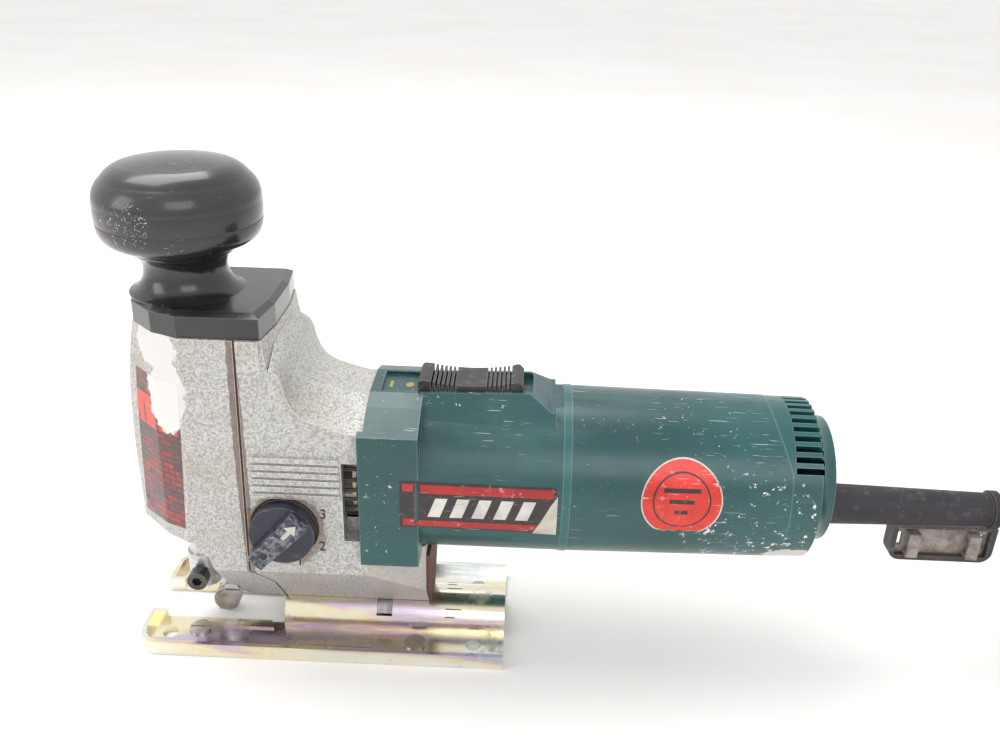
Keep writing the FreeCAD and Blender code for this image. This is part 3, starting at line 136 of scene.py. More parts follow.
def make_cord():
    """The whole cord as one smooth spline: down from the sleeve, round the coil and out to the plug."""
    points = [tuple(value * MM for value in point) for point in CORD_ROUTE]
    points += coil_points()
    points += [tuple(value * MM for value in point) for point in TAIL_ROUTE]
    curve = bpy.data.curves.new("cord_route", "CURVE")
    curve.dimensions = "3D"
    curve.resolution_u = 5
    spline = curve.splines.new("NURBS")
    spline.points.add(len(points) - 1)
    for point, spot in zip(spline.points, points):
        point.co = (*spot, 1)
    spline.order_u = 3
    spline.use_endpoint_u = True
    route = bpy.data.objects.new("cord_route", curve)
    line = bpy.data.meshes.new_from_object(route)
    bpy.data.meshes.remove(line)
    curve.bevel_depth = CORD_RADIUS
    curve.bevel_resolution = 5
    curve.use_fill_caps = True
    tube = bpy.data.meshes.new_from_object(route)
    tube.name = "cord_lead"
    bpy.data.objects.remove(route)
    bpy.data.curves.remove(curve)
    cord = bpy.data.objects.new("cord_lead", tube)
    bpy.context.scene.collection.objects.link(cord)
    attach(cord, "housing")
    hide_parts("cord", "cord_coil", "cord_tail")
    return cord


# ---------------------------------------------------------------- materials


class Look:
    """A procedural material in the making. Its texture coordinates are the object's, in metres."""

    def __init__(self, name, rough=0.5, metal=0.0, **fixed):
        self.material = bpy.data.materials.new(name)
        self.material.use_nodes = True
        self.tree = self.material.node_tree
        self.shader = self.tree.nodes["Principled BSDF"]
        self.place = self.node("ShaderNodeTexCoord").outputs["Object"]
        self.shader.inputs["Roughness"].default_value = rough
        self.shader.inputs["Metallic"].default_value = metal
        for socket, value in fixed.items():
            self.shader.inputs[socket.replace("_", " ")].default_value = value

    def node(self, kind, **settings):
        made = self.tree.nodes.new(kind)
        for key, value in settings.items():
            setattr(made, key, value)
        return made

    def feed(self, socket, value):
        if isinstance(value, bpy.types.NodeSocket):
            self.tree.links.new(value, socket)
        elif isinstance(value, tuple) and len(value) == 3 and socket.type == "RGBA":
            socket.default_value = (*value, 1)
        else:
            socket.default_value = value

    def maths(self, kind, first, second=0.0):
        made = self.node("ShaderNodeMath", operation=kind)
        self.feed(made.inputs[0], first)
        self.feed(made.inputs[1], second)
        return made.outputs[0]

    def band(self, value, low, high):
        """0 at low and 1 at high, clamped and smooth; low may be the larger."""
        made = self.node("ShaderNodeMapRange", interpolation_type="SMOOTHSTEP")
        for socket, size in zip(made.inputs[:3], (value, low, high)):
            self.feed(socket, size)
        return made.outputs[0]

    def stretch(self, scale, turn=(0, 0, 0), shift=(0, 0, 0)):
        made = self.node("ShaderNodeMapping")
        self.feed(made.inputs["Vector"], self.place)
        made.inputs["Location"].default_value = shift
        made.inputs["Rotation"].default_value = [math.radians(angle) for angle in turn]
        made.inputs["Scale"].default_value = scale
        return made.outputs[0]

    def noise(self, scale, detail=4.0, rough=0.5, twist=0.0, at=None):
        made = self.node("ShaderNodeTexNoise")
        self.feed(made.inputs["Vector"], at or self.place)
        made.inputs["Scale"].default_value = scale
        made.inputs["Detail"].default_value = detail
        made.inputs["Roughness"].default_value = rough
        made.inputs["Distortion"].default_value = twist
        return made.outputs["Fac"]

    def cells(self, scale):
        made = self.node("ShaderNodeTexVoronoi", feature="SMOOTH_F1")
        self.feed(made.inputs["Vector"], self.place)
        made.inputs["Scale"].default_value = scale
        return made.outputs["Distance"]

    def mix(self, share, first, second):
        made = self.node("ShaderNodeMix", data_type="RGBA")
        self.feed(made.inputs["Factor"], share)
        self.feed(made.inputs[6], first)
        self.feed(made.inputs[7], second)
        return made.outputs[2]

    def axis(self, letter):
        made = self.node("ShaderNodeSeparateXYZ")
        self.feed(made.inputs[0], self.place)
        return made.outputs[letter]

    def within(self, letter, low, high, soft=0.0004):
        """1 between two places along an axis, given in millimetres."""
        along = self.axis(letter)
        rise = self.band(along, low * MM - soft, low * MM + soft)
        fall = self.band(along, high * MM + soft, high * MM - soft)
        return self.maths("MULTIPLY", rise, fall)

    def spot(self, centre, radii, ragged=0.5, grain=180):
        """1 inside a ragged ellipsoid given in millimetres."""
        away = self.node("ShaderNodeVectorMath", operation="SUBTRACT")
        self.feed(away.inputs[0], self.place)
        away.inputs[1].default_value = [size * MM for size in centre]
        scaled = self.node("ShaderNodeVectorMath", operation="DIVIDE")
        self.feed(scaled.inputs[0], away.outputs[0])
        scaled.inputs[1].default_value = [size * MM for size in radii]
        length = self.node("ShaderNodeVectorMath", operation="LENGTH")
        self.feed(length.inputs[0], scaled.outputs[0])
        wobble = self.maths("MULTIPLY", self.noise(grain, 6, 0.6), ragged * 2)
        far = self.maths("ADD", length.outputs["Value"], wobble)
        return self.band(far, 1.06 + ragged, 0.98 + ragged)

    def streaks(self, turn, fine, long, level, seed=0.0):
        """Thin straight scratches: noise stretched far along one turned axis."""
        at = self.stretch((long, fine, fine), turn, (seed, seed, seed))
        return self.band(self.noise(1.0, 1.5, 0.4, 0, at), level, level + 0.035)

    def scratches(self, level=0.74, clump=45):
        """Scratches in three directions, gathered where the object was knocked."""
        every = self.streaks((20, 35, 10), 1500, 60, level)
        for index, turn in enumerate(((70, -20, 40), (10, 75, -30), (0, 8, 80))):
            more = self.streaks(turn, 1900, 90, level + 0.01 * index, 3.7 * index + 1)
            every = self.maths("MAXIMUM", every, more)
        gathered = self.band(self.noise(clump, 3, 0.6), 0.46, 0.62)
        return self.maths("MULTIPLY", every, gathered)

    def edges(self, radius=0.6):
        """1 on sharp edges, for wear."""
        bevel = self.node("ShaderNodeBevel", samples=4)
        bevel.inputs["Radius"].default_value = radius * MM
        flat = self.node("ShaderNodeNewGeometry").outputs["Normal"]
        dot = self.node("ShaderNodeVectorMath", operation="DOT_PRODUCT")
        self.feed(dot.inputs[0], bevel.outputs[0])
        self.feed(dot.inputs[1], flat)
        worn = self.maths("ADD", dot.outputs["Value"], self.maths("MULTIPLY", self.noise(420), 0.12))
        return self.band(worn, 1.035, 0.97)

    def colour(self, value):
        self.feed(self.shader.inputs["Base Color"], value)
        return self

    def sheen(self, value):
        self.feed(self.shader.inputs["Roughness"], value)
        return self

    def rough_between(self, fac, low, high):
        made = self.node("ShaderNodeMapRange")
        self.feed(made.inputs[0], fac)
        made.inputs[3].default_value = low
        made.inputs[4].default_value = high
        return self.sheen(made.outputs[0])

    def relief(self, height, depth, strength=1.0):
        """Add a bump over any bump already there."""
        made = self.node("ShaderNodeBump")
        made.inputs["Strength"].default_value = strength
        made.inputs["Distance"].default_value = depth * MM
        self.feed(made.inputs["Height"], height)
        normal = self.shader.inputs["Normal"]
        if normal.is_linked:
            self.tree.links.new(normal.links[0].from_socket, made.inputs["Normal"])
        self.tree.links.new(made.outputs[0], normal)
        return self


def black_gloss():
    """Knob and its plate: glossy black with scuffs on the side towards the camera."""
    look = Look("black_gloss", rough=0.16, Coat_Weight=0.35, Coat_Roughness=0.08)
    soft = look.noise(26, 5, 0.6)
    base = look.mix(look.band(soft, 0.35, 0.7), (0.010, 0.010, 0.012), (0.024, 0.023, 0.026))
    dust = look.band(look.noise(900, 2, 0.5), 0.70, 0.76)
    base = look.mix(look.maths("MULTIPLY", dust, 0.25), base, (0.35, 0.34, 0.34))
    fine = look.maths("MULTIPLY", look.scratches(0.735), 0.55)
    base = look.mix(fine, base, (0.42, 0.41, 0.42))
    chips = look.band(look.noise(620, 3, 0.75, 1.2), 0.60, 0.655)
    low_scuff = look.spot((-10, -21, 170), (12, 9, 4))
    scuffed = look.maths("MAXIMUM", look.spot((-3, -27, 179), (11, 9, 8)), low_scuff)
    scuffed = look.maths("MULTIPLY", scuffed, chips)
    base = look.mix(look.maths("MULTIPLY", scuffed, 0.85), base, (0.62, 0.61, 0.62))
    worn = look.maths("MULTIPLY", look.edges(0.7), 0.4)
    look.colour(look.mix(worn, base, (0.20, 0.20, 0.21)))
    look.rough_between(look.maths("ADD", soft, look.maths("MULTIPLY", scuffed, 0.6)), 0.08, 0.42)
    return look.relief(look.noise(1600, 3), 0.015).relief(scuffed, 0.03)


def hammer_silver():
    """Cast housing: hammertone silver paint, grime in its hollows, bare metal on the rear wedge."""
    look = Look("hammer_silver", rough=0.45, metal=0.35)
    grain = look.cells(1050)
    fleck = look.noise(1700, 3, 0.65)
    base = look.mix(look.band(fleck, 0.30, 0.66), (0.33, 0.325, 0.31), (0.60, 0.595, 0.575))
    cast = look.maths("MULTIPLY", look.band(grain, 0.42, 0.62), 0.6)
    base = look.mix(cast, base, (0.27, 0.26, 0.245))
    cloud = look.band(look.noise(38, 5, 0.6), 0.46, 0.74)
    base = look.mix(look.maths("MULTIPLY", cloud, 0.35), base, (0.30, 0.25, 0.18))
    pits = look.band(look.noise(300, 6, 0.7), 0.66, 0.72)
    base = look.mix(look.maths("MULTIPLY", pits, 0.7), base, (0.10, 0.065, 0.04))
    seam = look.spot((29, -28.5, 90), (2.2, 3, 70), 0.35, 240)
    base = look.mix(look.maths("MULTIPLY", seam, 0.75), base, (0.13, 0.08, 0.05))
    round_knob = look.spot((44, -28.5, 61.5), (15.4, 3, 15.4), 0.25, 260)
    base = look.mix(look.maths("MULTIPLY", round_knob, 0.6), base, (0.16, 0.10, 0.06))
    low_splash = look.spot((3, -25, 116), (8, 9, 15))
    splash = look.maths("MAXIMUM", look.spot((-2, -22, 134), (13, 12, 9)), low_splash)
    base = look.mix(splash, base, (0.66, 0.65, 0.635))
    base = look.mix(look.maths("MULTIPLY", look.edges(0.6), 0.55), base, (0.75, 0.74, 0.72))
    bare = look.maths("MULTIPLY", look.within("X", 75.2, 110), look.within("Z", 5, 48.4))
    milled = look.noise(1.0, 4, 0.6, 0, look.stretch((120, 900, 900)))
    raw = look.mix(milled, (0.34, 0.32, 0.29), (0.62, 0.60, 0.56))
    look.colour(look.mix(bare, base, raw))
    look.rough_between(fleck, 0.34, 0.62)
    texture = look.maths("ADD", grain, look.maths("MULTIPLY", fleck, 0.8))
    texture = look.maths("MULTIPLY", texture, look.maths("SUBTRACT", 1.0, bare))
    return look.relief(texture, 0.22, 0.8).relief(splash, 0.12).relief(milled, 0.04)


def green_shell(name, shade=1.0):
    """Glossy green motor casing, scratched, with paint spatter and a chipped rear edge."""
    look = Look(name, rough=0.3, Coat_Weight=0.15, Coat_Roughness=0.2)
    cloud = look.noise(14, 4, 0.55)
    dark = (0.006 * shade, 0.050 * shade, 0.052 * shade)
    light = (0.012 * shade, 0.088 * shade, 0.088 * shade)
    base = look.mix(look.band(cloud, 0.3, 0.7), dark, light)
    rub = look.band(look.noise(1.0, 5, 0.65, 0, look.stretch((14, 60, 60))), 0.5, 0.75)
    base = look.mix(look.maths("MULTIPLY", rub, 0.3), base, (0.07, 0.15, 0.14))
    marks = look.scratches(0.715, 30)
    base = look.mix(look.maths("MULTIPLY", marks, 0.75), base, (0.45, 0.52, 0.50))
    fine = look.band(look.noise(560, 3, 0.7), 0.655, 0.70)
    specks = look.maths("MULTIPLY", fine, look.band(look.noise(22, 3), 0.48, 0.62))
    base = look.mix(look.maths("MULTIPLY", specks, 0.8), base, (0.60, 0.62, 0.60))
    drops = look.band(look.noise(330, 4, 0.7), 0.60, 0.645)
    spatter = look.maths("MULTIPLY", look.spot((222, -30, 70), (26, 12, 24), 0.4, 60), drops)
    base = look.mix(spatter, base, (0.72, 0.73, 0.71))
    chip = look.spot((239, -22, 55), (11, 14, 5.5), 0.45, 260)
    base = look.mix(look.maths("MULTIPLY", chip, 0.85), base, (0.62, 0.60, 0.56))
    base = look.mix(look.maths("MULTIPLY", look.edges(0.7), 0.45), base, (0.20, 0.32, 0.30))
    look.colour(base)
    worn = look.maths("ADD", look.noise(60, 5, 0.6), look.maths("MULTIPLY", marks, 0.4))
    look.rough_between(worn, 0.16, 0.52)
    return look.relief(look.noise(1500, 3), 0.02).relief(look.maths("ADD", marks, spatter), 0.03)


def zinc_sheet():
    """Yellowed zinc plating: iridescent patches over brushed sheet, dark in its bends."""
    look = Look("zinc_sheet", rough=0.24, metal=1.0)
    tint = look.noise(1.0, 4, 0.6, 0.6, look.stretch((9, 42, 60)))
    ramp = look.node("ShaderNodeValToRGB")
    stops = ((0.30, (0.50, 0.56, 0.66)), (0.42, (0.80, 0.80, 0.76)), (0.52, (0.82, 0.74, 0.50)),
             (0.60, (0.62, 0.50, 0.60)), (0.70, (0.46, 0.56, 0.70)))
    while len(ramp.color_ramp.elements) < len(stops):
        ramp.color_ramp.elements.new(0.5)
    for element, (where, shade) in zip(ramp.color_ramp.elements, stops):
        element.position = where
        element.color = (*shade, 1)
    look.feed(ramp.inputs[0], tint)
    grime = look.band(look.noise(70, 6, 0.7), 0.55, 0.75)
    base = look.mix(look.maths("MULTIPLY", grime, 0.5), ramp.outputs[0], (0.22, 0.18, 0.13))
    marks = look.scratches(0.72, 60)
    base = look.mix(look.maths("MULTIPLY", marks, 0.6), base, (0.92, 0.92, 0.90))
    rust = look.maths("MULTIPLY", look.band(look.noise(240, 5, 0.7), 0.64, 0.70), look.edges(1.2))
    look.colour(look.mix(rust, base, (0.20, 0.09, 0.04)))
    brushed = look.noise(1.0, 3, 0.5, 0, look.stretch((30, 1500, 1500)))
    look.rough_between(look.maths("ADD", grime, look.maths("MULTIPLY", brushed, 0.5)), 0.12, 0.5)
    return look.relief(brushed, 0.01).relief(look.noise(45, 3), 0.15)


def metal(name, shade, rough=0.3, share=0.4):
    """Worn bare metal with drawn lines; share is how much dirt its clouds hold."""
    look = Look(name, rough=rough, metal=1.0)
    dirt = (0.08, 0.06, 0.045)
    drawn = look.noise(1.0, 4, 0.55, 0, look.stretch((60, 60, 1400)))
    cloud = look.band(look.noise(120, 5, 0.65), 0.45, 0.72)
    darker = tuple(0.72 * value for value in shade)
    base = look.mix(drawn, darker, shade)
    base = look.mix(look.maths("MULTIPLY", cloud, share), base, dirt)
    look.colour(look.mix(look.maths("MULTIPLY", look.edges(0.35), 0.35), base, (0.85, 0.85, 0.83)))
    clouded = look.maths("ADD", drawn, look.maths("MULTIPLY", cloud, 0.6))
    look.rough_between(clouded, 0.6 * rough, 1.5 * rough)
    return look.relief(drawn, 0.012)


def plastic(name, shade, rough, pale, dust, grain=1300, depth=0.03):
    """Dusty, scratched plastic or rubber; pale is its dust and scratches."""
    look = Look(name, rough=rough)
    cloud = look.noise(45, 5, 0.6)
    lighter = tuple(min(1.0, 1.7 * value + 0.004) for value in shade)
    base = look.mix(look.band(cloud, 0.35, 0.7), shade, lighter)
    film = look.band(look.noise(210, 6, 0.7), 0.52, 0.74)
    base = look.mix(look.maths("MULTIPLY", film, dust), base, pale)
    marks = look.maths("MULTIPLY", look.scratches(0.74, 60), 0.5)
    base = look.mix(marks, base, pale)
    look.colour(look.mix(look.maths("MULTIPLY", look.edges(0.5), 0.4), base, pale))
    look.rough_between(cloud, 0.7 * rough, min(1.0, 1.35 * rough))
    return look.relief(look.noise(grain, 3, 0.6), depth)


def key_rubber():
    """Key holder: rubber with a paler web between its two rims."""
    look = plastic("key_rubber", (0.030, 0.027, 0.026), 0.55, (0.34, 0.30, 0.27), 0.35, 900, 0.05)
    source = look.shader.inputs["Base Color"].links[0].from_socket
    web = look.maths("MULTIPLY", look.within("X", 288, 324, 0.0006), look.within("Z", 44.5, 57, 0.0006))
    cloud = look.band(look.noise(150, 5, 0.7), 0.35, 0.65)
    tone = look.mix(cloud, (0.16, 0.13, 0.115), (0.33, 0.29, 0.26))
    return look.colour(look.mix(web, source, tone))


def orbit_black():
    """Selector knob: blue-black, its raised bar worn to silver."""
    look = plastic("orbit_black", (0.010, 0.012, 0.024), 0.28, (0.30, 0.30, 0.34), 0.12, 1500, 0.02)
    source = look.shader.inputs["Base Color"].links[0].from_socket
    raised = look.band(look.axis("Y"), -0.0352, -0.0360)
    speckle = look.maths("MULTIPLY", raised, look.band(look.noise(520, 5, 0.75), 0.44, 0.58))
    look.colour(look.mix(look.maths("MULTIPLY", speckle, 0.42), source, (0.40, 0.40, 0.43)))
    return look


def print_look(name, shade, rough=0.35, worn=0.5, under=(0.45, 0.43, 0.40)):
    """Printed film that has rubbed away in places."""
    look = Look(name, rough=rough)
    cloud = look.noise(90, 5, 0.6)
    darker = tuple(0.7 * value for value in shade)
    base = look.mix(look.band(cloud, 0.3, 0.7), darker, shade)
    lost = look.maths("MULTIPLY", look.band(look.noise(330, 6, 0.75), 0.60, 0.66), worn)
    marks = look.maths("MULTIPLY", look.scratches(0.71, 50), 0.8)
    look.colour(look.mix(look.maths("MAXIMUM", lost, marks), base, under))
    look.rough_between(cloud, 0.7 * rough, 1.5 * rough)
    return look.relief(look.noise(700, 4), 0.03)


def table_print():
    """Rating plate: rows of red fields on dark grey, none of it lettering."""
    look = Look("table_print", rough=0.38)
    bricks = look.node("ShaderNodeTexBrick")
    shifted = look.stretch((1, 1, 1), (90, 0, 0))
    look.feed(bricks.inputs["Vector"], shifted)
    bricks.inputs["Color1"].default_value = (0.36, 0.030, 0.020, 1)
    bricks.inputs["Color2"].default_value = (0.060, 0.050, 0.055, 1)
    bricks.inputs["Mortar"].default_value = (0.050, 0.046, 0.052, 1)
    bricks.inputs["Scale"].default_value = 100
    bricks.inputs["Mortar Size"].default_value = 0.035
    bricks.inputs["Brick Width"].default_value = 0.55
    bricks.inputs["Row Height"].default_value = 0.24
    upright = look.noise(1.0, 1, 0.4, 0, look.stretch((160, 160, 30)))
    block = look.maths("MULTIPLY", look.within("Z", 99, 112), look.band(upright, 0.46, 0.50))
    base = look.mix(block, bricks.outputs["Color"], (0.62, 0.055, 0.030))
    faded = look.band(look.noise(260, 6, 0.7), 0.52, 0.68)
    base = look.mix(look.maths("MULTIPLY", faded, 0.45), base, (0.13, 0.11, 0.105))
    low_splash = look.spot((2, -25, 116), (9, 10, 15))
    splash = look.maths("MAXIMUM", look.spot((-2, -22, 134), (13, 12, 12)), low_splash)
    base = look.mix(splash, base, (0.66, 0.65, 0.635))
    worn = look.maths("MULTIPLY", look.scratches(0.71, 60), 0.8)
    look.colour(look.mix(worn, base, (0.55, 0.53, 0.50)))
    look.rough_between(faded, 0.28, 0.6)
    return look.relief(splash, 0.12).relief(look.noise(600, 4), 0.03)


def dress(look, *names):
    """Give CAD nodes a material, on their objects' own slots."""
    for name in names:
        for slot in NODES[name].material_slots:
            slot.material = look.material


# ---------------------------------------------------------------- small visible pieces


def mesh_of(made, name):
    """Close a bmesh up as a mesh, its faces turned outwards."""
    bmesh.ops.recalc_face_normals(made, faces=made.faces)
    mesh = bpy.data.meshes.new(name)
    made.to_mesh(mesh)
    made.free()
    return mesh


def add_piece(name, mesh, look, body):
    """Link a drawn piece, give it the look's material, and say which body carries it."""
    piece = bpy.data.objects.new(name, mesh)
    bpy.context.scene.collection.objects.link(piece)
    mesh.materials.append(look.material)
    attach(piece, body)
    return piece


def surface_of(*names):
    """A tree of the named nodes' faces, for laying film on them."""
    vertices = []
    faces = []
    for name in names:
        start = len(vertices)
        vertices += [vertex.co.copy() for vertex in NODES[name].data.vertices]
        for face in NODES[name].data.polygons:
            faces.append(tuple(start + index for index in face.vertices))
    return BVHTree.FromPolygons(vertices, faces)


def film(name, tree, look, spot, across=24, up=12, lift=0.15, slot="green_plastic", closed=False):
    """A thin film laid on a surface from its -Y side.

    spot(u, v) is a place outside the surface, and lift is the film's height over it, both in
    millimetres. The film's underside is sunk a little, so that it never floats.
    """
    direction = Vector((0, 1, 0))
    sunk = 0.05 * MM
    rows = []
    for row in range(up + 1):
        line = []
        for column in range(across + (0 if closed else 1)):
            start = Vector(spot(column / across, row / up)) * MM
            hit, normal, _, _ = tree.ray_cast(start, direction)
            if hit is None:
                raise RuntimeError(f"{name} misses its surface at {tuple(start)}")
            if normal.dot(direction) > 0:
                normal = -normal
            line.append((hit + normal * lift * MM, hit - normal * sunk))
        rows.append(line)
    made = bmesh.new()
    top = [[made.verts.new(pair[0]) for pair in line] for line in rows]
    under = [[made.verts.new(pair[1]) for pair in line] for line in rows]
    width = len(rows[0])
    spans = width if closed else width - 1
    for row in range(up):
        for column in range(spans):
            following = (column + 1) % width
            for sheet, flip in ((top, False), (under, True)):
                loop = [
                    sheet[row][column],
                    sheet[row][following],
                    sheet[row + 1][following],
                    sheet[row + 1][column],
                ]
                made.faces.new(loop[::-1] if flip else loop)
    for column in range(spans):
        following = (column + 1) % width
        made.faces.new([top[0][following], top[0][column], under[0][column], under[0][following]])
        made.faces.new(
            [top[up][column], top[up][following], under[up][following], under[up][column]]
        )
    if not closed:
        for row in range(up):
            made.faces.new([top[row][0], top[row + 1][0], under[row + 1][0], under[row][0]])
            made.faces.new([top[row + 1][-1], top[row][-1], under[row][-1], under[row + 1][-1]])
    return add_piece(name, mesh_of(made, name), look, "housing")


def slab(name, points, low, high, look, body, plane="XZ"):
    """A thin plate with an outline in the plane, between two levels of the third axis."""
    made = bmesh.new()
    rings = []
    for level in (low, high):
        if plane == "XZ":
            rings.append([made.verts.new(Vector((a, level, b)) * MM) for a, b in points])
        else:
            rings.append([made.verts.new(Vector((a, b, level)) * MM) for a, b in points])
    made.faces.new(rings[0])
    made.faces.new(rings[1][::-1])
    for index in range(len(points)):
        after = (index + 1) % len(points)
        made.faces.new([rings[0][after], rings[0][index], rings[1][index], rings[1][after]])
    return add_piece(name, mesh_of(made, name), look, body)


def ring(name, centre, axis, radius, thick, look, body):
    """A fine torus, for a seam or a groove."""
    turns, sides = 96, 8
    made = bmesh.new()
    loops = []
    for turn in range(turns):
        angle = 2 * math.pi * turn / turns
        out = Vector((math.cos(angle), math.sin(angle), 0))
        spots = []
        for side in range(sides):
            lean = 2 * math.pi * side / sides
            rise = Vector((0, 0, thick * math.sin(lean)))
            spots.append(out * (radius + thick * math.cos(lean)) + rise)
        loops.append([made.verts.new(spot * MM) for spot in spots])
    for turn, here in enumerate(loops):
        there = loops[(turn + 1) % turns]
        for side in range(sides):
            after = (side + 1) % sides
            made.faces.new([here[side], there[side], there[after], here[after]])
    turned = Vector((0, 0, 1)).rotation_difference(Vector(axis)).to_matrix().to_4x4()
    made.transform(Matrix.Translation(Vector(centre) * MM) @ turned)
    return add_piece(name, mesh_of(made, name), look, body)


def strip(corners):
    """A film's spot function from four corners in side view.

    Their order is low left, low right, high right, high left.
    """
    (ax, az), (bx, bz), (cx, cz), (dx, dz) = corners

    def spot(u, v):
        x = (ax * (1 - u) + bx * u) * (1 - v) + (dx * (1 - u) + cx * u) * v
        z = (az * (1 - u) + bz * u) * (1 - v) + (dz * (1 - u) + cz * u) * v
        return x, -CLEAR, z

    return spot


def round_spot(centre, inner, outer, cut):
    """A film's spot function over a ring or disc, worn away in a wavy line below a height."""

    def spot(u, v):
        angle = 2 * math.pi * u
        radius = inner + (outer - inner) * v
        x = centre[0] + radius * math.cos(angle)
        z = centre[1] + radius * math.sin(angle)
        return x, -CLEAR, max(z, cut + 0.5 * math.sin(1.9 * x))

    return spot


def make_labels(looks):
    """Films on the nose, the flank and the barrel, with plain generic patterns."""
    nose = surface_of("nose_cover")
    film("nose_label", nose, looks["table"], strip([(-16.5, 57), (4.6, 59), (8.6, 121), (-12.2, 121)]),
         slot="silver_paint", lift=0.12)
    side = surface_of("motor_housing", "joint_ring")
    whole = strip([(88.5, 67), (146.8, 66.5), (146.8, 86.6), (88.5, 86.8)])
    film("side_label", side, looks["label_dark"], whole)
    film("side_label_low_band", side, looks["label_red"],
         strip([(89.6, 67.8), (141, 67.3), (141, 70.4), (89.6, 70.8)]), lift=0.21)
    film("side_label_high_band", side, looks["label_red"],
         strip([(89.6, 82.6), (145.9, 82.3), (145.9, 85.7), (89.6, 85.9)]), lift=0.21)
    for index in range(5):
        start = 99 + 8.2 * index
        bar = strip([(start, 72.6), (start + 4.6, 72.6), (start + 7.6, 80.8), (start + 3, 80.8)])
        film(f"side_label_bar_{index}", side, looks["label_pale"], bar, 6, 8, 0.22)
    film("side_label_film", side, looks["film_pale"],
         strip([(138.5, 66.2), (147.4, 65.8), (147.3, 83.4), (144.8, 79.5)]), lift=0.28)
    barrel = surface_of("barrel_housing")
    centre = (193, 83)
    film("sticker", barrel, looks["sticker_red"], round_spot(centre, 0.2, 14.7, 70.6), 48, 10, closed=True)
    rim = round_spot(centre, 14.6, 15.1, 70.4)
    film("sticker_rim", barrel, looks["label_pale"], rim, 48, 2, 0.17, closed=True)
    inner_ring = round_spot(centre, 10.2, 10.8, 72.4)
    film("sticker_ring", barrel, looks["label_dark"], inner_ring, 48, 2, 0.2, closed=True)
    half_bar = 0.8
    for index, (reach, level) in enumerate(((6.8, 4.2), (4.6, 0), (2.4, -4.2))):
        left, right = centre[0] - reach, centre[0] + reach
        low, high = centre[1] + level - half_bar, centre[1] + level + half_bar
        bar = strip([(left, low), (right, low), (right, high), (left, high)])
        film(f"sticker_bar_{index}", barrel, looks["label_dark"], bar, 10, 3, 0.21)


def make_marks(looks):
    """Selector digits and arrow, switch symbols, angle marks and seams."""
    low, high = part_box("orbit_shaft")
    shaft_reach = 4  # from the shaft's axis to the +X side of its box
    centre = ((high.x - shaft_reach * MM) / MM, (low.z + high.z) / 2 / MM)
    digit_circle, digit_level = 16.4, -28.55
    for digit, angle in (("3", 23), ("2", -30), ("1", -72)):
        curve = bpy.data.curves.new(f"digit_{digit}", "FONT")
        curve.body = digit
        curve.size = 6 * MM
        curve.extrude = 0.1 * MM
        curve.align_x = "CENTER"
        curve.align_y = "CENTER"
        text = bpy.data.objects.new(f"digit_{digit}_curve", curve)
        mesh = bpy.data.meshes.new_from_object(text)
        bpy.data.objects.remove(text)
        turn = math.radians(angle)
        across_flank = centre[0] + digit_circle * math.cos(turn)
        up_flank = centre[1] + digit_circle * math.sin(turn)
        spot = Vector((across_flank, digit_level, up_flank)) * MM
        mesh.transform(Matrix.Translation(spot) @ Matrix.Rotation(math.pi / 2, 4, "X"))
        mesh.name = f"digit_{digit}"
        add_piece(f"digit_{digit}", mesh, looks["ink"], "housing")
    middle = (centre[0], -28.5, centre[1])
    ring("orbit_gap", middle, (0, 1, 0), 12.9, 0.45, looks["grime"], "housing")
    bar_angle = math.radians(47)
    along = Vector((math.cos(bar_angle), math.sin(bar_angle)))
    across = Vector((-along.y, along.x))

    def on_bar(points):
        """Points along and across the knob's raised bar, placed in side view."""
        placed = [Vector(centre) + along * a + across * b for a, b in points]
        return [(point.x, point.y) for point in placed]

    arrow = [(10.4, 0), (6.6, 2.6), (6.6, 0.8), (2.4, 0.8), (2.4, -0.8), (6.6, -0.8), (6.6, -2.6)]
    slab("orbit_arrow", on_bar(arrow), -39.12, -38.9, looks["label_pale"], "selector")
    steps = [index * math.pi / 8 for index in range(16)]
    dot = [(-9 + 1.5 * math.cos(step), 1.5 * math.sin(step)) for step in steps]
    slab("orbit_dot", on_bar(dot), -39.1, -38.9, looks["ink"], "selector")
    deck = 111.3
    zero = [(89.2 + 1.6 * math.cos(step), 2.2 * math.sin(step)) for step in steps]
    one = [(81.4, -2.6), (82.6, -2.6), (82.6, 2.6), (81.4, 2.6)]
    for name, outline in (("switch_mark_off", zero), ("switch_mark_on", one)):
        slab(name, outline, deck - 0.05, deck + 0.1, looks["yellow"], "housing",
             "XY")
    seam_low, seam_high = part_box("knob_cap")
    ring("knob_seam", ((seam_low.x + seam_high.x) / 2 / MM, 0, 175.3), (0, 0, 1), 29.25, 0.16,
         looks["grime"], "housing")
    mark_start, half_mark, hump_axis = 104, 0.22, 2
    for index, angle in enumerate((-60, -45, -30, -15, 0, 15, 30, 45, 60)):
        lean = math.radians(angle)
        long = 6.5 if angle % 45 == 0 else 4
        side = Vector((math.cos(lean), -math.sin(lean)))
        out = Vector((math.sin(lean), math.cos(lean)))
        made = bmesh.new()
        corners = []
        for reach in (12.9, 13.06):
            for x, shift in (
                (mark_start, -half_mark),
                (mark_start + long, -half_mark),
                (mark_start + long, half_mark),
                (mark_start, half_mark),
            ):
                point = out * reach + side * shift
                corners.append(made.verts.new(Vector((x, point.x, hump_axis + point.y)) * MM))
        for loop in ((0, 1, 2, 3), (7, 6, 5, 4), (0, 4, 5, 1), (1, 5, 6, 2), (2, 6, 7, 3), (3, 7, 4, 0)):
            made.faces.new([corners[corner] for corner in loop])
        name = f"angle_mark_{index}"
        add_piece(name, mesh_of(made, name), looks["engraved"], "base")


# ---------------------------------------------------------------- stage


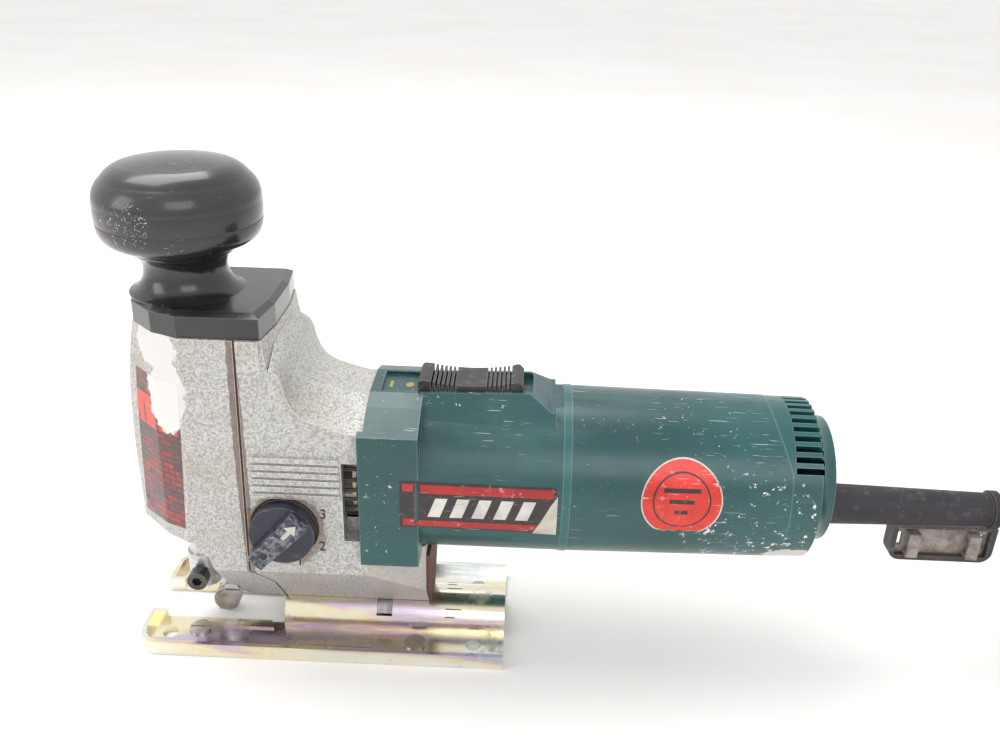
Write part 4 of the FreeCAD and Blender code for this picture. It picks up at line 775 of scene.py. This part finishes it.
def make_stage():
    """A pale plain floor, a white surround and large soft lights."""
    mesh = bpy.data.meshes.new("floor")
    reach = 9.0
    corners = [(-reach, -reach, 0), (reach, -reach, 0), (reach, reach, 0), (-reach, reach, 0)]
    below = 0.0002  # keeps the floor from sharing its plane with the base plate's underside
    mesh.from_pydata(corners, [], [(0, 1, 2, 3)])
    floor = bpy.data.objects.new("floor", mesh)
    floor.location = (0, 0, -below)
    bpy.context.scene.collection.objects.link(floor)
    look = Look("floor_paint", rough=0.42)
    cloud = look.noise(3, 4, 0.6)
    look.colour(look.mix(look.band(cloud, 0.3, 0.7), (0.83, 0.815, 0.80), (0.88, 0.87, 0.86)))
    look.relief(look.noise(60, 4), 0.1)
    mesh.materials.append(look.material)
    world = bpy.data.worlds.new("surround")
    world.use_nodes = True
    world.node_tree.nodes["Background"].inputs["Color"].default_value = (1.0, 0.99, 0.98, 1)
    world.node_tree.nodes["Background"].inputs["Strength"].default_value = 1.0
    bpy.context.scene.world = world
    for name, spot, aim, size, power, tint in (
        ("key_light", (-0.25, 0.35, 1.25), (0.12, 0, 0.05), (1.1, 0.8), 13, (1.0, 0.985, 0.96)),
        ("front_light", (0.45, -1.2, 0.9), (0.12, 0, 0.08), (0.9, 0.7), 4.5, (0.97, 0.985, 1.0)),
        ("left_light", (-1.0, -0.5, 0.6), (0.05, 0, 0.1), (0.5, 0.8), 3.5, (1.0, 1.0, 1.0)),
    ):
        data = bpy.data.lights.new(name, "AREA")
        data.shape = "RECTANGLE"
        data.size, data.size_y = size
        data.energy = power
        data.color = tint
        light = bpy.data.objects.new(name, data)
        bpy.context.scene.collection.objects.link(light)
        light.location = spot
        light.rotation_mode = "QUATERNION"
        light.rotation_quaternion = (Vector(aim) - Vector(spot)).to_track_quat("-Z", "Y")
    bpy.context.scene.view_settings.view_transform = "Standard"


make_camera()
cord_lead = make_cord()

rubber = plastic("worn_rubber", (0.014, 0.011, 0.016), 0.55, (0.24, 0.22, 0.24), 0.30, 1100, 0.06)
steel = metal("machined_steel", (0.66, 0.66, 0.66), 0.28)
dark_steel = metal("dark_steel", (0.16, 0.16, 0.165), 0.38, share=0.5)
bronze = metal("bronze", (0.60, 0.40, 0.20), 0.35)
copper = metal("copper", (0.62, 0.26, 0.11), 0.32)
black = plastic("black_plastic", (0.014, 0.014, 0.015), 0.5, (0.34, 0.33, 0.31), 0.35)
pale = plastic("pale_nylon", (0.42, 0.38, 0.29), 0.5, (0.2, 0.17, 0.12), 0.3)
fibre = plastic("red_fibre", (0.085, 0.028, 0.020), 0.7, (0.25, 0.18, 0.14), 0.3, 700, 0.08)
green = green_shell("green_shell")
dress(black_gloss(), "knob_cap", "knob_base")
dress(hammer_silver(), "nose_cover", "gear_housing")
dress(fibre, "housing_gasket", "insulating_plate", "speed_module")
dress(green, "motor_housing", "barrel_housing", "end_cap")
dress(green_shell("green_ring", 1.5), "joint_ring")
dress(zinc_sheet(), "base_plate")
dress(metal("zinc_parts", (0.60, 0.58, 0.50), 0.3), "base_screws", "base_rivets")
dress(metal("cast_aluminium", (0.58, 0.57, 0.55), 0.45), "base_clamp_saddle")
dress(dark_steel, "cover_screws", "knob_bolt", "base_clamp_screw", "clamp_screw", "tie_screws",
      "armature_core", "stator_core")
dress(steel, "lever_pivot_screw", "plunger", "yoke", "blade_clamp", "pinion", "crank_gear", "crank_pin",
      "gear_spindle", "armature_shaft", "motor_bearings", "orbit_shaft", "orbit_clip", "roller_lever",
      "roller_pin", "support_roller", "plug_pins")
dress(bronze, "lower_bush", "upper_bush", "brush_holders")
dress(copper, "armature_windings", "commutator", "field_coils")
dress(black, "switch_slider", "switch_module", "carbon_brushes", "bearing_bracket", "fan_shroud",
      "cord_clamp")
dress(pale, "switch_bar", "fan")
dress(rubber, "cord_sleeve", "plunger_wiper", "plug_body")
dress(key_rubber(), "key_holder")
dress(orbit_black(), "orbit_knob")
cord_lead.data.materials.append(rubber.material)

looks = {
    "table": table_print(),
    "label_dark": print_look("label_dark", (0.030, 0.020, 0.022), 0.3, 0.35),
    "label_red": print_look("label_red", (0.40, 0.020, 0.018), 0.3, 0.5),
    "label_pale": print_look("label_pale", (0.62, 0.60, 0.56), 0.35, 0.35, (0.06, 0.04, 0.04)),
    "film_pale": print_look("film_pale", (0.55, 0.52, 0.45), 0.22, 0.3, (0.10, 0.08, 0.07)),
    "sticker_red": print_look("sticker_red", (0.66, 0.035, 0.022), 0.25, 0.25, (0.75, 0.72, 0.70)),
    "ink": print_look("ink", (0.040, 0.024, 0.020), 0.6, 0.2),
    "yellow": print_look("faded_yellow", (0.38, 0.30, 0.10), 0.6, 0.6, (0.03, 0.06, 0.06)),
    "grime": print_look("grime", (0.045, 0.026, 0.016), 0.8, 0.3, (0.12, 0.08, 0.05)),
    "engraved": print_look("engraved", (0.070, 0.055, 0.045), 0.7, 0.3),
}
make_labels(looks)
make_marks(looks)
make_stage()
